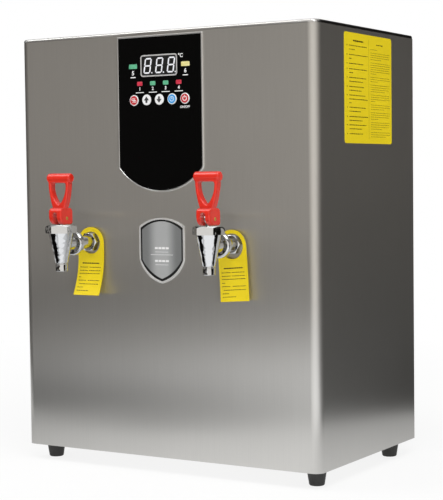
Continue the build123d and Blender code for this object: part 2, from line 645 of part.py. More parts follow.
for side, tap_x in tap_xs.items():
    centre = (tap_x, spout_ys[side], shank_z)
    level = Plane(origin=centre)  # sketches read (x, y)
    front = Plane(origin=centre, x_dir=(1, 0, 0), z_dir=(0, -1, 0))  # (x, z)
    flank = Plane(origin=centre, x_dir=(0, 1, 0), z_dir=(1, 0, 0))  # (y, z)
    spout_axis = Axis(centre, (0, 0, 1))
    shank_axis = Axis(centre, (0, 1, 0))

    # Body: one casting, a tapered spout with a side arm that ends in the long shank.
    with BuildPart() as body:
        with BuildSketch(front):
            with BuildLine():
                Polyline(
                    (0, tip_low),
                    (tip_r - 0.6, tip_low),
                    (tip_r, tip_low + 0.6),
                    (tip_r, tip_step),
                    (tip_r - 0.5, tip_step + 0.3),
                    (tip_r - 0.5, cone_low - 0.6),
                    (cone_low_r, cone_low),
                    (cone_top_r, cone_top),
                    (neck_r, cone_top),
                    (neck_r, neck_top),
                    (0, neck_top),
                    close=True,
                )
            make_face()
        revolve(axis=spout_axis)
        with BuildSketch(flank) as arm_half:
            with BuildLine():
                Polyline(
                    (0, 0),
                    (0, arm_r),
                    (flange_y, arm_r),
                    (flange_y, flange_r),
                    (flange_y + flange_t, flange_r),
                    (flange_y + flange_t + 3, barrel_r),
                    (thread_start, barrel_r),
                    (thread_start, shank_r),
                    (shank_length, shank_r),
                    (shank_length, 0),
                    close=True,
                )
            make_face()
            fillet(arm_half.vertices().group_by(Axis.Y)[-1].sort_by(Axis.X)[0], 3.0)
        revolve(axis=shank_axis)
        with BuildSketch(front):
            with BuildLine():
                Polyline(
                    (0, neck_top),
                    (chamber_r, neck_top),
                    (chamber_r, seat_z),
                    (seat_r, seat_z),
                    (seat_r, tip_step),
                    (outlet_r, tip_step - 1),
                    (outlet_r, tip_low),
                    (0, tip_low),
                    close=True,
                )
            make_face()
        revolve(axis=spout_axis, mode=Mode.SUBTRACT)
        with BuildSketch(Plane(origin=centre, x_dir=(-1, 0, 0), z_dir=(0, 1, 0))):
            Circle(water_bore_r)
        extrude(amount=shank_length, mode=Mode.SUBTRACT)
        outward = Vector(sin(radians(dimple_angle)), -cos(radians(dimple_angle)), 0)
        dimple_spot = Vector(*centre) + outward * tip_r + Vector(0, 0, dimple_z)
        with BuildSketch(Plane(origin=dimple_spot, z_dir=outward)):
            Circle(dimple_r)
        extrude(amount=-dimple_depth, mode=Mode.SUBTRACT)
    body.part.label = f"tap_{side}_body"
    export_step(body.part, f"parts/{body.part.label}.step")

    # Bonnet nut: a wide chamfered hexagon that closes the chamber and guides the stem.
    with BuildPart() as bonnet_nut:
        with BuildSketch(level.offset(cone_top)):
            RegularPolygon(bonnet_corner_r, 6, rotation=bonnet_turns[side])
        extrude(amount=bonnet_top - cone_top)
        flats_r = bonnet_corner_r * cos(pi / 6)
        drop = (bonnet_corner_r - flats_r * 0.95) * tan(pi / 6)
        with BuildSketch(front):
            with BuildLine():
                Polyline(
                    (0, cone_top),
                    (bonnet_corner_r - 0.8, cone_top),
                    (bonnet_corner_r, cone_top + 0.8),
                    (bonnet_corner_r, bonnet_top - drop),
                    (flats_r * 0.95, bonnet_top),
                    (0, bonnet_top),
                    close=True,
                )
            make_face()
        revolve(axis=spout_axis, mode=Mode.INTERSECT)
        with BuildSketch(level.offset(cone_top)):
            Circle(neck_r + 0.05)
        extrude(amount=bonnet_roof - cone_top, mode=Mode.SUBTRACT)
        with BuildSketch(level.offset(bonnet_top)):
            Circle(stem_r + bore_gap)
        extrude(amount=-(bonnet_top - bonnet_roof), mode=Mode.SUBTRACT)
    bonnet_nut.part.label = f"tap_{side}_bonnet_nut"
    export_step(bonnet_nut.part, f"parts/{bonnet_nut.part.label}.step")

    # Stem: a steel rod with an eye for the lever pin and a flange that the spring bears on.
    flange_top = cup_top + stem_flange_t
    with BuildPart() as stem:
        with BuildSketch(front):
            with BuildLine():
                Polyline(
                    (0, seat_z + 2.5),
                    (stem_end_r, seat_z + 2.5),
                    (stem_end_r, cup_top),
                    (stem_flange_r, cup_top),
                    (stem_flange_r, flange_top),
                    (stem_r, flange_top),
                    (stem_r, pin_z),
                    (0, pin_z),
                    close=True,
                )
            make_face()
        revolve(axis=spout_axis)
        with BuildSketch(flank):
            with Locations((0, pin_z)):
                Circle(eye_r)
        extrude(amount=stem_r, both=True)
        with BuildSketch(flank):
            with Locations((0, pin_z)):
                Circle(pin_r + bore_gap)
        extrude(amount=2 * stem_r, both=True, mode=Mode.SUBTRACT)
    stem.part.label = f"tap_{side}_stem"
    export_step(stem.part, f"parts/{stem.part.label}.step")

    # Seat cup: the soft silicone plug on the stem's end that closes the outlet.
    with BuildPart() as seat_cup:
        with BuildSketch(front) as cup_half:
            with BuildLine():
                Polyline(
                    (0, seat_z + 0.1),
                    (cup_r, seat_z + 0.1),
                    (cup_r, cup_top - 2),
                    (cup_r - 1.5, cup_top),
                    (stem_end_r + 0.02, cup_top),
                    (stem_end_r + 0.02, seat_z + 2.5),
                    (0, seat_z + 2.5),
                    close=True,
                )
            make_face()
        revolve(axis=spout_axis)
    seat_cup.part.label = f"tap_{side}_seat_cup"
    export_step(seat_cup.part, f"parts/{seat_cup.part.label}.step")

    # Spring: a coil between the stem's flange and the bonnet's roof.
    coil_low = flange_top + spring_wire_r + 0.1
    coil_high = bonnet_roof - spring_wire_r - 0.1
    with BuildPart() as spring:
        with BuildLine():
            coil = Helix(
                pitch=(coil_high - coil_low) / spring_turns,
                height=coil_high - coil_low,
                radius=spring_mean_r,
                center=Vector(*centre) + Vector(0, 0, coil_low),
            )
        with BuildSketch(Plane(origin=coil @ 0, z_dir=coil % 0)):
            Circle(spring_wire_r)
        sweep(path=Wire([coil]), is_frenet=True)
    spring.part.label = f"tap_{side}_spring"
    export_step(spring.part, f"parts/{spring.part.label}.step")

    # Lever: a moulded loop with a cross grip, over a forked block whose underside is the cam.
    with BuildPart() as loop:
        with BuildSketch(front) as loop_front:
            with BuildLine():
                right = ThreePointArc(
                    (loop_half_neck, loop_neck),
                    (loop_half_mid, loop_mid),
                    (loop_half_top, grip_top - grip_r),
                )
                left = ThreePointArc(
                    (-loop_half_top, grip_top - grip_r),
                    (-loop_half_mid, loop_mid),
                    (-loop_half_neck, loop_neck),
                )
                Line(right @ 1, left @ 0)
                Line(left @ 1, right @ 0)
            make_face()
            with BuildLine():
                hole_top = grip_top - 2 * grip_r + 0.3
                right_side = ThreePointArc(
                    (0, hole_low), (hole_half_mid, hole_mid), (hole_half_top, hole_top)
                )
                left_side = ThreePointArc(
                    (-hole_half_top, hole_top), (-hole_half_mid, hole_mid), (0, hole_low)
                )
                Line(right_side @ 1, left_side @ 0)
            make_face(mode=Mode.SUBTRACT)
            above_neck = loop_front.vertices().filter_by(lambda v: v.Y > loop_neck + 1)
            fillet(above_neck.filter_by(lambda v: abs(v.X) < hole_half_top + 0.1), hole_round)
        extrude(amount=loop_depth / 2, both=True)
        fillet(loop.edges().filter_by(Axis.Y, reverse=True), loop_round)
    with BuildPart() as lever:
        with BuildSketch(flank) as block_side:
            with BuildLine():
                cam = Spline(*(cam_point(turn * pi / 16) for turn in range(9)))
                Polyline(
                    cam @ 1,
                    (-cam_front, block_top),
                    (block_rear, block_top),
                    (block_rear, pin_z - cam_low),
                    cam @ 0,
                )
            make_face()
            top_corners = block_side.vertices().group_by(Axis.Y)[-1]
            fillet(top_corners, 5.5)
            rear_corner = block_side.vertices().sort_by(Axis.X)[-2:].sort_by(Axis.Y)[0]
            fillet(rear_corner, 4.0)
        extrude(amount=block_half_width, both=True)
        cheek_faces = lever.faces().filter_by(Axis.X)
        fillet(cheek_faces.edges(), block_round)
        add(loop.part)
        with BuildSketch(flank):
            with Locations((0, grip_top - grip_r)):
                Circle(grip_r)
        extrude(amount=grip_length / 2, both=True)
        grip_ends = lever.edges().filter_by(GeomType.CIRCLE).filter_by(
            lambda e: abs(abs(e.center().X - tap_x) - grip_length / 2) < 0.01
        )
        fillet(grip_ends, grip_round)
        with BuildSketch(front):
            with BuildLine():
                arch = ThreePointArc(
                    (slot_half_width, slot_top - slot_half_width),
                    (0, slot_top),
                    (-slot_half_width, slot_top - slot_half_width),
                )
                Polyline(
                    arch @ 1,
                    (-slot_half_width, bonnet_top - 10),
                    (slot_half_width, bonnet_top - 10),
                    arch @ 0,
                )
            make_face()
        extrude(amount=2 * cam_front, mode=Mode.SUBTRACT)
        with BuildSketch(flank):
            with BuildLine():
                rear_arc = ThreePointArc(
                    (0, pin_z + slot_rear), (slot_rear * sin(pi / 4), pin_z + slot_rear * cos(pi / 4)),
                    (slot_rear, pin_z),
                )
                Polyline(
                    rear_arc @ 1, (slot_rear, bonnet_top - 10), (-0.5, bonnet_top - 10),
                    (-0.5, pin_z + slot_rear), rear_arc @ 0,
                )
            make_face()
        extrude(amount=slot_half_width, both=True, mode=Mode.SUBTRACT)
        with BuildSketch(flank):
            with Locations((0, pin_z)):
                Circle(pin_r + 0.02)
        extrude(amount=2 * block_half_width, both=True, mode=Mode.SUBTRACT)
    lever.part.label = f"tap_{side}_lever"
    export_step(lever.part, f"parts/{lever.part.label}.step")

    # Lever pin: a brass pin pressed into the cheeks, turning in the stem's eye.
    with BuildPart() as lever_pin:
        with BuildSketch(flank):
            with Locations((0, pin_z)):
                Circle(pin_r)
        extrude(amount=block_half_width + 0.4, both=True)
        chamfer(lever_pin.edges().filter_by(GeomType.CIRCLE), 0.35)
    lever_pin.part.label = f"tap_{side}_lever_pin"
    export_step(lever_pin.part, f"parts/{lever_pin.part.label}.step")

    # Wall nut: a bright hexagon on the shank that clamps the tap to the front sheet.
    nut_start = (tap_x, front_y - wall_washer_t - wall_nut_t, shank_z)
    with BuildPart() as wall_nut:
        add(hexagon_nut(nut_start, (0, 1, 0), wall_nut_flats, wall_nut_t, shank_r + 0.05, 30))
    wall_nut.part.label = f"tap_{side}_wall_nut"
    export_step(wall_nut.part, f"parts/{wall_nut.part.label}.step")

    # Washers: silicone, one against the front sheet and one against the tank wall.
    with BuildPart() as washers:
        for start_y, outer_r in (
            (front_y - wall_washer_t, wall_washer_r),
            (front_y + tank_front - wall_washer_t, tank_washer_r),
        ):
            with BuildSketch(facing_back(start_y)):
                with Locations((-tap_x, shank_z)):
                    Circle(outer_r)
                    Circle(shank_r + 0.05, mode=Mode.SUBTRACT)
            extrude(amount=wall_washer_t)
    washers.part.label = f"tap_{side}_washers"
    export_step(washers.part, f"parts/{washers.part.label}.step")

    # Lock nuts: brass, one behind the front sheet and one inside the tank.
    with BuildPart() as lock_nuts:
        for start_y in (front_y + sheet, front_y + tank_front + tank_wall):
            add(
                hexagon_nut(
                    (tap_x, start_y, shank_z), (0, 1, 0), lock_nut_flats, lock_nut_t, shank_r + 0.05
                )
            )
    lock_nuts.part.label = f"tap_{side}_lock_nuts"
    export_step(lock_nuts.part, f"parts/{lock_nuts.part.label}.step")

    # Tag: a blank strip of flexible plastic whose round head hangs on the wall nut.
    tag = tags[side]
    tilt = radians(tag["tilt"])
    drop = tag["hole_r"] - tag_slack
    hang = (tap_x + drop * sin(tilt), front_y - tag["stand_off"], shank_z - drop * cos(tilt))
    tag_front = Plane(origin=hang, x_dir=(cos(tilt), 0, sin(tilt)), z_dir=(0, -1, 0))
    tag_flank = Plane(origin=hang, x_dir=(0, 1, 0), z_dir=(cos(tilt), 0, sin(tilt)))
    with BuildPart() as hang_tag:
        with BuildSketch(tag_flank):
            with BuildLine():
                straight = Line((0, tag_half_width), (0, -tag_bend_start))
                bend = TangentArc(
                    straight @ 1, (-tag["curl"], -tag_length), tangent=straight % 1
                )
                offset(amount=tag_t / 2, side=Side.BOTH)
            make_face()
        extrude(amount=tag_half_width, both=True)
        with BuildSketch(tag_front):
            Circle(tag_half_width)
            with Locations((0, -(tag_length + 5) / 2)):
                Rectangle(2 * tag_half_width, tag_length + 5)
            Circle(tag["hole_r"], mode=Mode.SUBTRACT)
        extrude(amount=40, both=True, mode=Mode.INTERSECT)
    hang_tag.part.label = f"tap_{side}_tag"
    export_step(hang_tag.part, f"parts/{hang_tag.part.label}.step")

# ---------------------------------------------------------------- tank and fittings
tank_front_y, tank_back_y = front_y + tank_front, back_y - tank_back
tank_middle_y = (tank_front_y + tank_back_y) / 2
tank_depth = tank_back_y - tank_front_y


def tank_plan(z, grow, corner):
    """The tank's rounded plan, grown by a margin, drawn at height z."""
    with BuildSketch(Plane.XY.offset(z)) as plan:
        with Locations((0, tank_middle_y)):
            RectangleRounded(2 * tank_half_width + 2 * grow, tank_depth + 2 * grow, corner)
    return plan.sketch


# Tank shell: a welded open box with an outward rim.
with BuildPart() as tank_shell:
    extrude(tank_plan(tank_low, 0, tank_corner), amount=tank_high - tank_low)
    extrude(tank_plan(tank_high - tank_wall, tank_rim, tank_corner + tank_rim), amount=tank_wall)
    extrude(
        tank_plan(tank_low + tank_wall, -tank_wall, tank_corner - tank_wall),
        amount=tank_high - tank_low,
        mode=Mode.SUBTRACT,
    )
    with BuildSketch(facing_front(tank_front_y)):
        with Locations(*((x, shank_z) for x in tap_xs.values())):
            Circle(shank_r + 0.2)
    extrude(amount=-5, mode=Mode.SUBTRACT)
    with BuildSketch(facing_back(tank_back_y)):
        with Locations((0, heater_z)):
            Circle(24)
        with Locations((90, 330)):
            Circle(4.2)
    extrude(amount=-5, mode=Mode.SUBTRACT)
    with BuildSketch(Plane.XY.offset(tank_low)):
        with Locations((drain_x, drain_y)):
            Circle(pipe_r + 0.1)
        with Locations((inlet_x, feed_y)):
            Circle(feed_r + 0.1)
    extrude(amount=tank_wall, mode=Mode.SUBTRACT)
tank_shell.part.label = "tank_shell"
export_step(tank_shell.part, "parts/tank_shell.step")

# Tank lid: a flat plate with a turned-down edge over the rim.
lid_grow = tank_rim + 1.5
with BuildPart() as tank_lid:
    extrude(tank_plan(tank_high - 5, lid_grow, tank_corner + lid_grow), amount=6.2)
    extrude(
        tank_plan(tank_high - 5, lid_grow - 1.2, tank_corner + lid_grow - 1.2),
        amount=5.0,
        mode=Mode.SUBTRACT,
    )
    with BuildSketch(Plane.XY.offset(tank_high)):
        with Locations((overflow_x, overflow_y)):
            Circle(pipe_r + 0.1)
        with Locations((-60, 40)):
            Circle(9.1)
    extrude(amount=2, mode=Mode.SUBTRACT)
tank_lid.part.label = "tank_lid"
export_step(tank_lid.part, "parts/tank_lid.step")

# Tank insulation: a foam jacket round the four walls, open behind for the fittings.
with BuildPart() as tank_insulation:
    jacket_gap = 0.4
    extrude(
        tank_plan(tank_low, jacket_gap + jacket_t, tank_corner + jacket_t),
        amount=jacket_high - tank_low,
    )
    extrude(
        tank_plan(tank_low, jacket_gap, tank_corner + jacket_gap),
        amount=jacket_high - tank_low,
        mode=Mode.SUBTRACT,
    )
    with BuildSketch(facing_front(tank_front_y)):
        with Locations(*((x, shank_z) for x in tap_xs.values())):
            Circle(14)
    extrude(amount=20, mode=Mode.SUBTRACT)
    with BuildSketch(facing_back(tank_back_y)):
        with Locations((0, 345)):
            Rectangle(260, 180)
    extrude(amount=20, mode=Mode.SUBTRACT)
tank_insulation.part.label = "tank_insulation"
export_step(tank_insulation.part, "parts/tank_insulation.step")

# Heater: a round flange that carries three hairpin elements low in the tank.
with BuildPart() as heater:
    with BuildSketch(facing_back(tank_back_y)):
        with Locations((0, heater_z)):
            Circle(heater_flange_r)
    extrude(amount=heater_flange_t)
    for row in (-1, 0, 1):
        z = heater_z + row * element_pitch * 0.9
        bend_y = tank_back_y - element_reach
        with BuildLine():
            hairpin = Polyline(
                (-element_half_gap, tank_back_y + 10, z), (-element_half_gap, bend_y, z)
            )
            turn = ThreePointArc(
                (-element_half_gap, bend_y, z),
                (0, bend_y - element_half_gap, z),
                (element_half_gap, bend_y, z),
            )
            back = Line((element_half_gap, bend_y, z), (element_half_gap, tank_back_y + 10, z))
        with BuildSketch(Plane(origin=(-element_half_gap, tank_back_y + 10, z), z_dir=(0, -1, 0))):
            Circle(element_r)
        sweep(path=Wire(hairpin.edges() + turn.edges() + back.edges()))
heater.part.label = "heater"
export_step(heater.part, "parts/heater.step")

# Level probes: a plug in the lid with three rods of different length.
with BuildPart() as level_probes:
    with BuildSketch(Plane.XY.offset(tank_high + 1.2)):
        with Locations((-60, 40)):
            RegularPolygon(13, 6)
    extrude(amount=8)
    with BuildSketch(Plane.XY.offset(tank_high + 1.2)):
        with Locations((-60, 40)):
            Circle(9)
    extrude(amount=-14)
    for angle, length in ((90, 60), (210, 110), (330, 185)):
        probe_x = -60 + 5 * cos(radians(angle))
        probe_y = 40 + 5 * sin(radians(angle))
        with BuildSketch(Plane.XY.offset(tank_high + 14)):
            with Locations((probe_x, probe_y)):
                Circle(1.5)
        extrude(amount=-(length + 14))
level_probes.part.label = "level_probes"
export_step(level_probes.part, "parts/level_probes.step")

# Temperature sensor: a small hexagon fitting with a probe tube through the tank's rear wall.
with BuildPart() as temperature_sensor:
    with BuildSketch(facing_back(tank_back_y)):
        with Locations((90, 330)):
            RegularPolygon(8, 6)
    extrude(amount=7)
    with BuildSketch(facing_back(tank_back_y)):
        with Locations((90, 330)):
            Circle(4)
    extrude(amount=-60)
temperature_sensor.part.label = "temperature_sensor"
export_step(temperature_sensor.part, "parts/temperature_sensor.step")

# Overheat cut-out: a snap-disc thermostat clamped on the tank's rear wall.
with BuildPart() as overheat_cutout:
    with BuildSketch(facing_back(tank_back_y + 0.1)):
        with Locations((-90, 400)):
            SlotOverall(31, 17)
    extrude(amount=1)
    with BuildSketch(facing_back(tank_back_y + 1.1)):
        with Locations((-90, 400)):
            Circle(8)
    extrude(amount=8)
    with BuildSketch(facing_back(tank_back_y + 9.1)):
        with Locations((-94, 400), (-86, 400)):
            Rectangle(0.8, 6.3)
    extrude(amount=8)
overheat_cutout.part.label = "overheat_cutout"
export_step(overheat_cutout.part, "parts/overheat_cutout.step")

# Inlet valve: a solenoid valve whose threaded end stands out of the back panel.
with BuildPart() as inlet_valve:
    with BuildSketch(facing_back(back_y - sheet)):
        with Locations((-inlet_x, inlet_z)):
            Circle(inlet_thread_r)
    extrude(amount=pipe_end_y - back_y + sheet)
    with BuildSketch(facing_back(back_y)):
        with Locations((-inlet_x, inlet_z)):
            RegularPolygon(collar_r, 6)
    extrude(amount=collar_t)
    with BuildSketch(facing_front(back_y - sheet)):
        with Locations((inlet_x, inlet_z)):
            Rectangle(40, 34)
    extrude(amount=5)
    with BuildSketch(facing_front(back_y - sheet - 5)):
        with Locations((inlet_x, inlet_z)):
            RectangleRounded(26, 26, 3)
    extrude(amount=38)
    with BuildSketch(facing_back(pipe_end_y)):
        with Locations((-inlet_x, inlet_z)):
            Circle(7.5)
    extrude(amount=-40, mode=Mode.SUBTRACT)
    with BuildSketch(Plane.XY.offset(inlet_z + 13)):
        with Locations((inlet_x, back_y - 30)):
            Circle(7.5)
    extrude(amount=14)
    with BuildSketch(Plane.YZ.offset(inlet_x + 13)):
        with Locations((back_y - 26, inlet_z)):
            Circle(13)
    extrude(amount=32)
inlet_valve.part.label = "inlet_valve"
export_step(inlet_valve.part, "parts/inlet_valve.step")

# Pipes: bent tubes with round corners.
feed_start_z = inlet_z + 27
feed_points = (
    (inlet_x, back_y - 30, feed_start_z),
    (inlet_x, back_y - 30, feed_start_z + 45),
    (inlet_x, feed_y, feed_start_z + 85),
    (inlet_x, feed_y, tank_low + 10),
)
drain_points = (
    (drain_x, drain_y, tank_low + tank_wall),
    (drain_x, drain_y, drain_z),
    (drain_x, pipe_end_y - 4, drain_z),
)
overflow_points = (
    (overflow_x, overflow_y, tank_high - 8),
    (overflow_x, overflow_y, overflow_z),
    (overflow_x, pipe_end_y, overflow_z),
)


def bent_tube(points, radius, wall, bend):
    """A round tube along straight runs joined by equal bends."""
    with BuildPart() as tube:
        with BuildLine() as route:
            path = FilletPolyline(*points, radius=bend)
        with BuildSketch(Plane(origin=path @ 0, z_dir=path % 0)):
            Circle(radius)
            Circle(radius - wall, mode=Mode.SUBTRACT)
        sweep(path=route.wires()[0])
    return tube.part


with BuildPart() as inlet_pipe:
    add(bent_tube(feed_points, feed_r, feed_wall, 14))
inlet_pipe.part.label = "inlet_pipe"
export_step(inlet_pipe.part, "parts/inlet_pipe.step")

with BuildPart() as drain_pipe:
    add(bent_tube(drain_points, pipe_r, pipe_wall, 22))
drain_pipe.part.label = "drain_pipe"
export_step(drain_pipe.part, "parts/drain_pipe.step")

with BuildPart() as overflow_pipe:
    add(bent_tube(overflow_points, pipe_r, pipe_wall, 14))
    with BuildSketch(facing_back(back_y)):
        with Locations((-overflow_x, overflow_z)):
            Circle(pipe_r + 2.5)
            Circle(pipe_r - pipe_wall / 2, mode=Mode.SUBTRACT)
    extrude(amount=bead_t)
overflow_pipe.part.label = "overflow_pipe"
export_step(overflow_pipe.part, "parts/overflow_pipe.step")

# Drain cap: a hexagon cap screwed over the end of the drain pipe.
with BuildPart() as drain_cap:
    with BuildSketch(facing_back(pipe_end_y - 16)):
        with Locations((-drain_x, drain_z)):
            RegularPolygon(12.5, 6)
    extrude(amount=16)
    with BuildSketch(facing_back(pipe_end_y - 16)):
        with Locations((-drain_x, drain_z)):
            Circle(pipe_r + 0.05)
    extrude(amount=12.5, mode=Mode.SUBTRACT)
    fillet(drain_cap.faces().sort_by(Axis.Y)[-1].edges(), 1.2)
drain_cap.part.label = "drain_cap"
export_step(drain_cap.part, "parts/drain_cap.step")

# Terminal block: three poles on the base pan.
with BuildPart() as terminal_block:
    with BuildSketch(Plane.XY.offset(base_z + sheet)):
        with Locations((-60, 105)):
            Rectangle(66, 26)
    extrude(amount=20)
    with BuildSketch(Plane.XY.offset(base_z + sheet + 20)):
        with Locations((-60, 105)):
            with GridLocations(21, 0, 3, 1):
                Rectangle(15, 26)
    extrude(amount=-9, mode=Mode.SUBTRACT)
terminal_block.part.label = "terminal_block"
export_step(terminal_block.part, "parts/terminal_block.step")

# Cable gland: a nylon gland in the back panel with its lock nut inside.
gland_spot = (gland_x, back_y, gland_z)
with BuildPart() as cable_gland:
    with BuildSketch(Plane(origin=gland_spot, x_dir=(0, 1, 0), z_dir=(-1, 0, 0))) as gland_half:
        with BuildLine():
            Polyline(
                (-14, gland_bore_r),
                (-14, gland_r),
                (0, gland_r),
                (0, 12.5),
                (5, 12.5),
                (5, 11.5),
                (16, 11.5),
                (20, gland_bore_r + 1.5),
                (20, gland_bore_r),
                close=True,
            )
        make_face()
    revolve(axis=Axis(gland_spot, (0, 1, 0)))
    gland_nut_spot = (gland_x, back_y - sheet - 5, gland_z)
    add(hexagon_nut(gland_nut_spot, (0, 1, 0), 24, 5, gland_r + 0.05))
cable_gland.part.label = "cable_gland"
export_step(cable_gland.part, "parts/cable_gland.step")
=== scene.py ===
from math import cos, pi, radians, sin
from random import Random

import bmesh
import bpy
from mathutils import Matrix, Vector


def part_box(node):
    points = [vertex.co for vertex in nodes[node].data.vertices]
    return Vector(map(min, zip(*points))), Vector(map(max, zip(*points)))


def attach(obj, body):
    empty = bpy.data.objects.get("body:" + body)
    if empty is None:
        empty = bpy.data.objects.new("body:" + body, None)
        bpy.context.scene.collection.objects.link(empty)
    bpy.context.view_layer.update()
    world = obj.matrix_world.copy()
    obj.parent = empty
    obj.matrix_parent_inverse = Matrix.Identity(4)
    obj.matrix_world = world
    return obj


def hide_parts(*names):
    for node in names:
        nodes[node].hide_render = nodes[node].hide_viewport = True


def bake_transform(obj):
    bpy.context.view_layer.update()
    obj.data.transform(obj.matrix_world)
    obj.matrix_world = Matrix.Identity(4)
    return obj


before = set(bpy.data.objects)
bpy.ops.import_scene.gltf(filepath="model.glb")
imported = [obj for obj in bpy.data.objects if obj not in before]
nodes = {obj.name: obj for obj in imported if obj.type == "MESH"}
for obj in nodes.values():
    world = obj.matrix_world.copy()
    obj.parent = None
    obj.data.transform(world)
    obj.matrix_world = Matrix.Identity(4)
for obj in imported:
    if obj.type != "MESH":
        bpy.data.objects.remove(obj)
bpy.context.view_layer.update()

# ------------------------------------------------------------------ studio
# A dark studio: a long lens to the right of the urn at two thirds of its height, a sweep of white
# paper under it, two softboxes, and cards and dark cloths for the metal to mirror.
azimuth, tip, roll = radians(31.47), radians(2.93), radians(-0.69)
focal_length, frame_height = 1448.7, 500  # both in pixels
back = Vector((sin(azimuth) * cos(tip), -cos(azimuth) * cos(tip), sin(tip)))
right = Vector((cos(azimuth), sin(azimuth), 0))
up = back.cross(right)
tilted_right = right * cos(roll) + up * sin(roll)
tilted_up = up * cos(roll) - right * sin(roll)
lens = bpy.data.cameras.new("camera")
lens.sensor_width = 36
lens.lens = focal_length / frame_height * lens.sensor_width
lens.clip_start, lens.clip_end = 0.05, 60
camera = bpy.data.objects.new("camera", lens)
turned = Matrix((tilted_right, tilted_up, back)).transposed().to_4x4()
standpoint = (1.0306, -1.6462, 0.3829)
camera.matrix_world = Matrix.Translation(standpoint) @ turned
bpy.context.scene.collection.objects.link(camera)
bpy.context.scene.camera = camera
bpy.context.scene.view_settings.view_transform = "Standard"


def linear(colour):
    """An sRGB hex colour as linear red, green, blue and alpha."""
    parts = [int(colour[i:i + 2], 16) / 255 for i in (1, 3, 5)]
    return [c / 12.92 if c <= 0.04045 else ((c + 0.055) / 1.055) ** 2.4 for c in parts] + [1.0]


def add(tree, kind, sockets=None, **settings):
    """Adds one node with its options as settings; a socket takes a value or an output to link."""
    node = tree.nodes.new(kind)
    for name, value in settings.items():
        setattr(node, name, value)
    for name, value in (sockets or {}).items():
        if isinstance(value, bpy.types.NodeSocket):
            tree.links.new(value, node.inputs[name])
        else:
            node.inputs[name].default_value = value
    return node


def greys(ramp, low, high, stops):
    """Sets a ramp that runs from low to high: a stop is a place, a brightness, a warmth to 1."""
    elements = ramp.color_ramp.elements
    while len(elements) < len(stops):
        elements.new(1.0)
    for element, (place, grey, warmth) in zip(elements, stops):
        element.position = round((place - low) / (high - low), 4)
        element.color = (grey, grey * (1 - 0.07 * warmth), grey * (1 - 0.14 * warmth), 1.0)


def ray_kinds(tree):
    """Two switches: 1 for rays that a shiny surface sends out, and 1 for those or the camera's."""
    path = add(tree, "ShaderNodeLightPath")
    glossy = path.outputs["Is Glossy Ray"]
    seen = add(tree, "ShaderNodeMath", {
        0: path.outputs["Is Camera Ray"], 1: glossy}, operation="MAXIMUM")
    seen = add(tree, "ShaderNodeMath", {
        0: seen.outputs[0], 1: path.outputs["Is Transmission Ray"]}, operation="MAXIMUM")
    return glossy, seen.outputs[0]


# The walls, as a shiny surface mirrors them, by degrees about the urn: 0 is ahead of it and 90 to
# its right. All is dark but a grey wall ahead on the left, a bright one ahead and a grey one right.
room = bpy.data.worlds.new("dark studio")
room.use_nodes = True
tree = room.node_tree
tree.nodes.clear()
glossy, seen = ray_kinds(tree)
way = add(tree, "ShaderNodeTexCoord").outputs["Generated"]
way = add(tree, "ShaderNodeSeparateXYZ", {"Vector": way})
ahead = add(tree, "ShaderNodeMath", {0: way.outputs["Y"], 1: -1.0}, operation="MULTIPLY")
turn = add(tree, "ShaderNodeMath", {0: way.outputs["X"], 1: ahead.outputs[0]}, operation="ARCTAN2")
turn = add(tree, "ShaderNodeMapRange", {"Value": turn.outputs[0], "From Min": -pi, "From Max": pi})
walls = add(tree, "ShaderNodeValToRGB", {"Fac": turn.outputs[0]})
greys(walls, -180, 180, (
    (-180, 0.01, 1), (-100, 0.02, 1), (-60, 0.02, 1), (-39, 0.22, 1), (-25, 0.19, 1), (-8, 0.5, 1),
    (10, 1.0, 1), (19, 0.01, 1), (66, 0.01, 1), (70, 0.55, 1), (87, 0.38, 1), (101, 0.08, 1),
    (113, 0.01, 1), (180, 0.01, 1)))
ceiling = add(tree, "ShaderNodeMapRange", {
    "Value": way.outputs["Z"], "From Min": 0.45, "From Max": 0.8})
mirror = add(tree, "ShaderNodeMix", {
    0: ceiling.outputs[0], 6: walls.outputs[0], 7: linear("#f4f4f4")}, data_type="RGBA")
both = add(tree, "ShaderNodeMix", {
    0: glossy, 6: linear("#ffffff"), 7: mirror.outputs[2]}, data_type="RGBA")
strength = add(tree, "ShaderNodeMapRange", {"Value": seen, "To Min": 0.6, "To Max": 1.0})
sky = add(tree, "ShaderNodeBackground", {"Color": both.outputs[2], "Strength": strength.outputs[0]})
add(tree, "ShaderNodeOutputWorld", {"Surface": sky.outputs[0]})
bpy.context.scene.world = room


def quad(name, corners, material):
    """One flat four-cornered object of the studio."""
    mesh = bpy.data.meshes.new(name)
    mesh.from_pydata(corners, [], [(0, 1, 2, 3)])
    mesh.materials.append(material)
    flat = bpy.data.objects.new(name, mesh)
    bpy.context.scene.collection.objects.link(flat)
    return flat


# The floor: matt white paper that keeps a soft shadow. Metal mirrors it as a bright strip that runs
# towards the camera, by metres to the right of the urn, and sees a darker floor beyond its edges.
floor_finish = bpy.data.materials.new("white paper")
floor_finish.use_nodes = True
tree = floor_finish.node_tree
tree.nodes.clear()
glossy, seen = ray_kinds(tree)
place = add(tree, "ShaderNodeTexCoord").outputs["Object"]
across = add(tree, "ShaderNodeVectorMath", {0: place, 1: right}, operation="DOT_PRODUCT")
across = add(tree, "ShaderNodeMapRange", {
    "Value": across.outputs["Value"], "From Min": -5.0, "From Max": 1.0})
strip = add(tree, "ShaderNodeValToRGB", {"Fac": across.outputs[0]})
greys(strip, -5, 1, (
    (-5, 0.24, 1), (-3.9, 0.02, 1), (-2.3, 0.01, 1), (-1.8, 0.1, 1), (-1.3, 0.23, 1),
    (-0.9, 0.93, 0), (-0.62, 1.0, 0), (-0.58, 0.5, 0), (0, 1.0, 0), (0.56, 0.47, 0),
    (0.62, 1.0, 0), (1, 0.95, 0)))
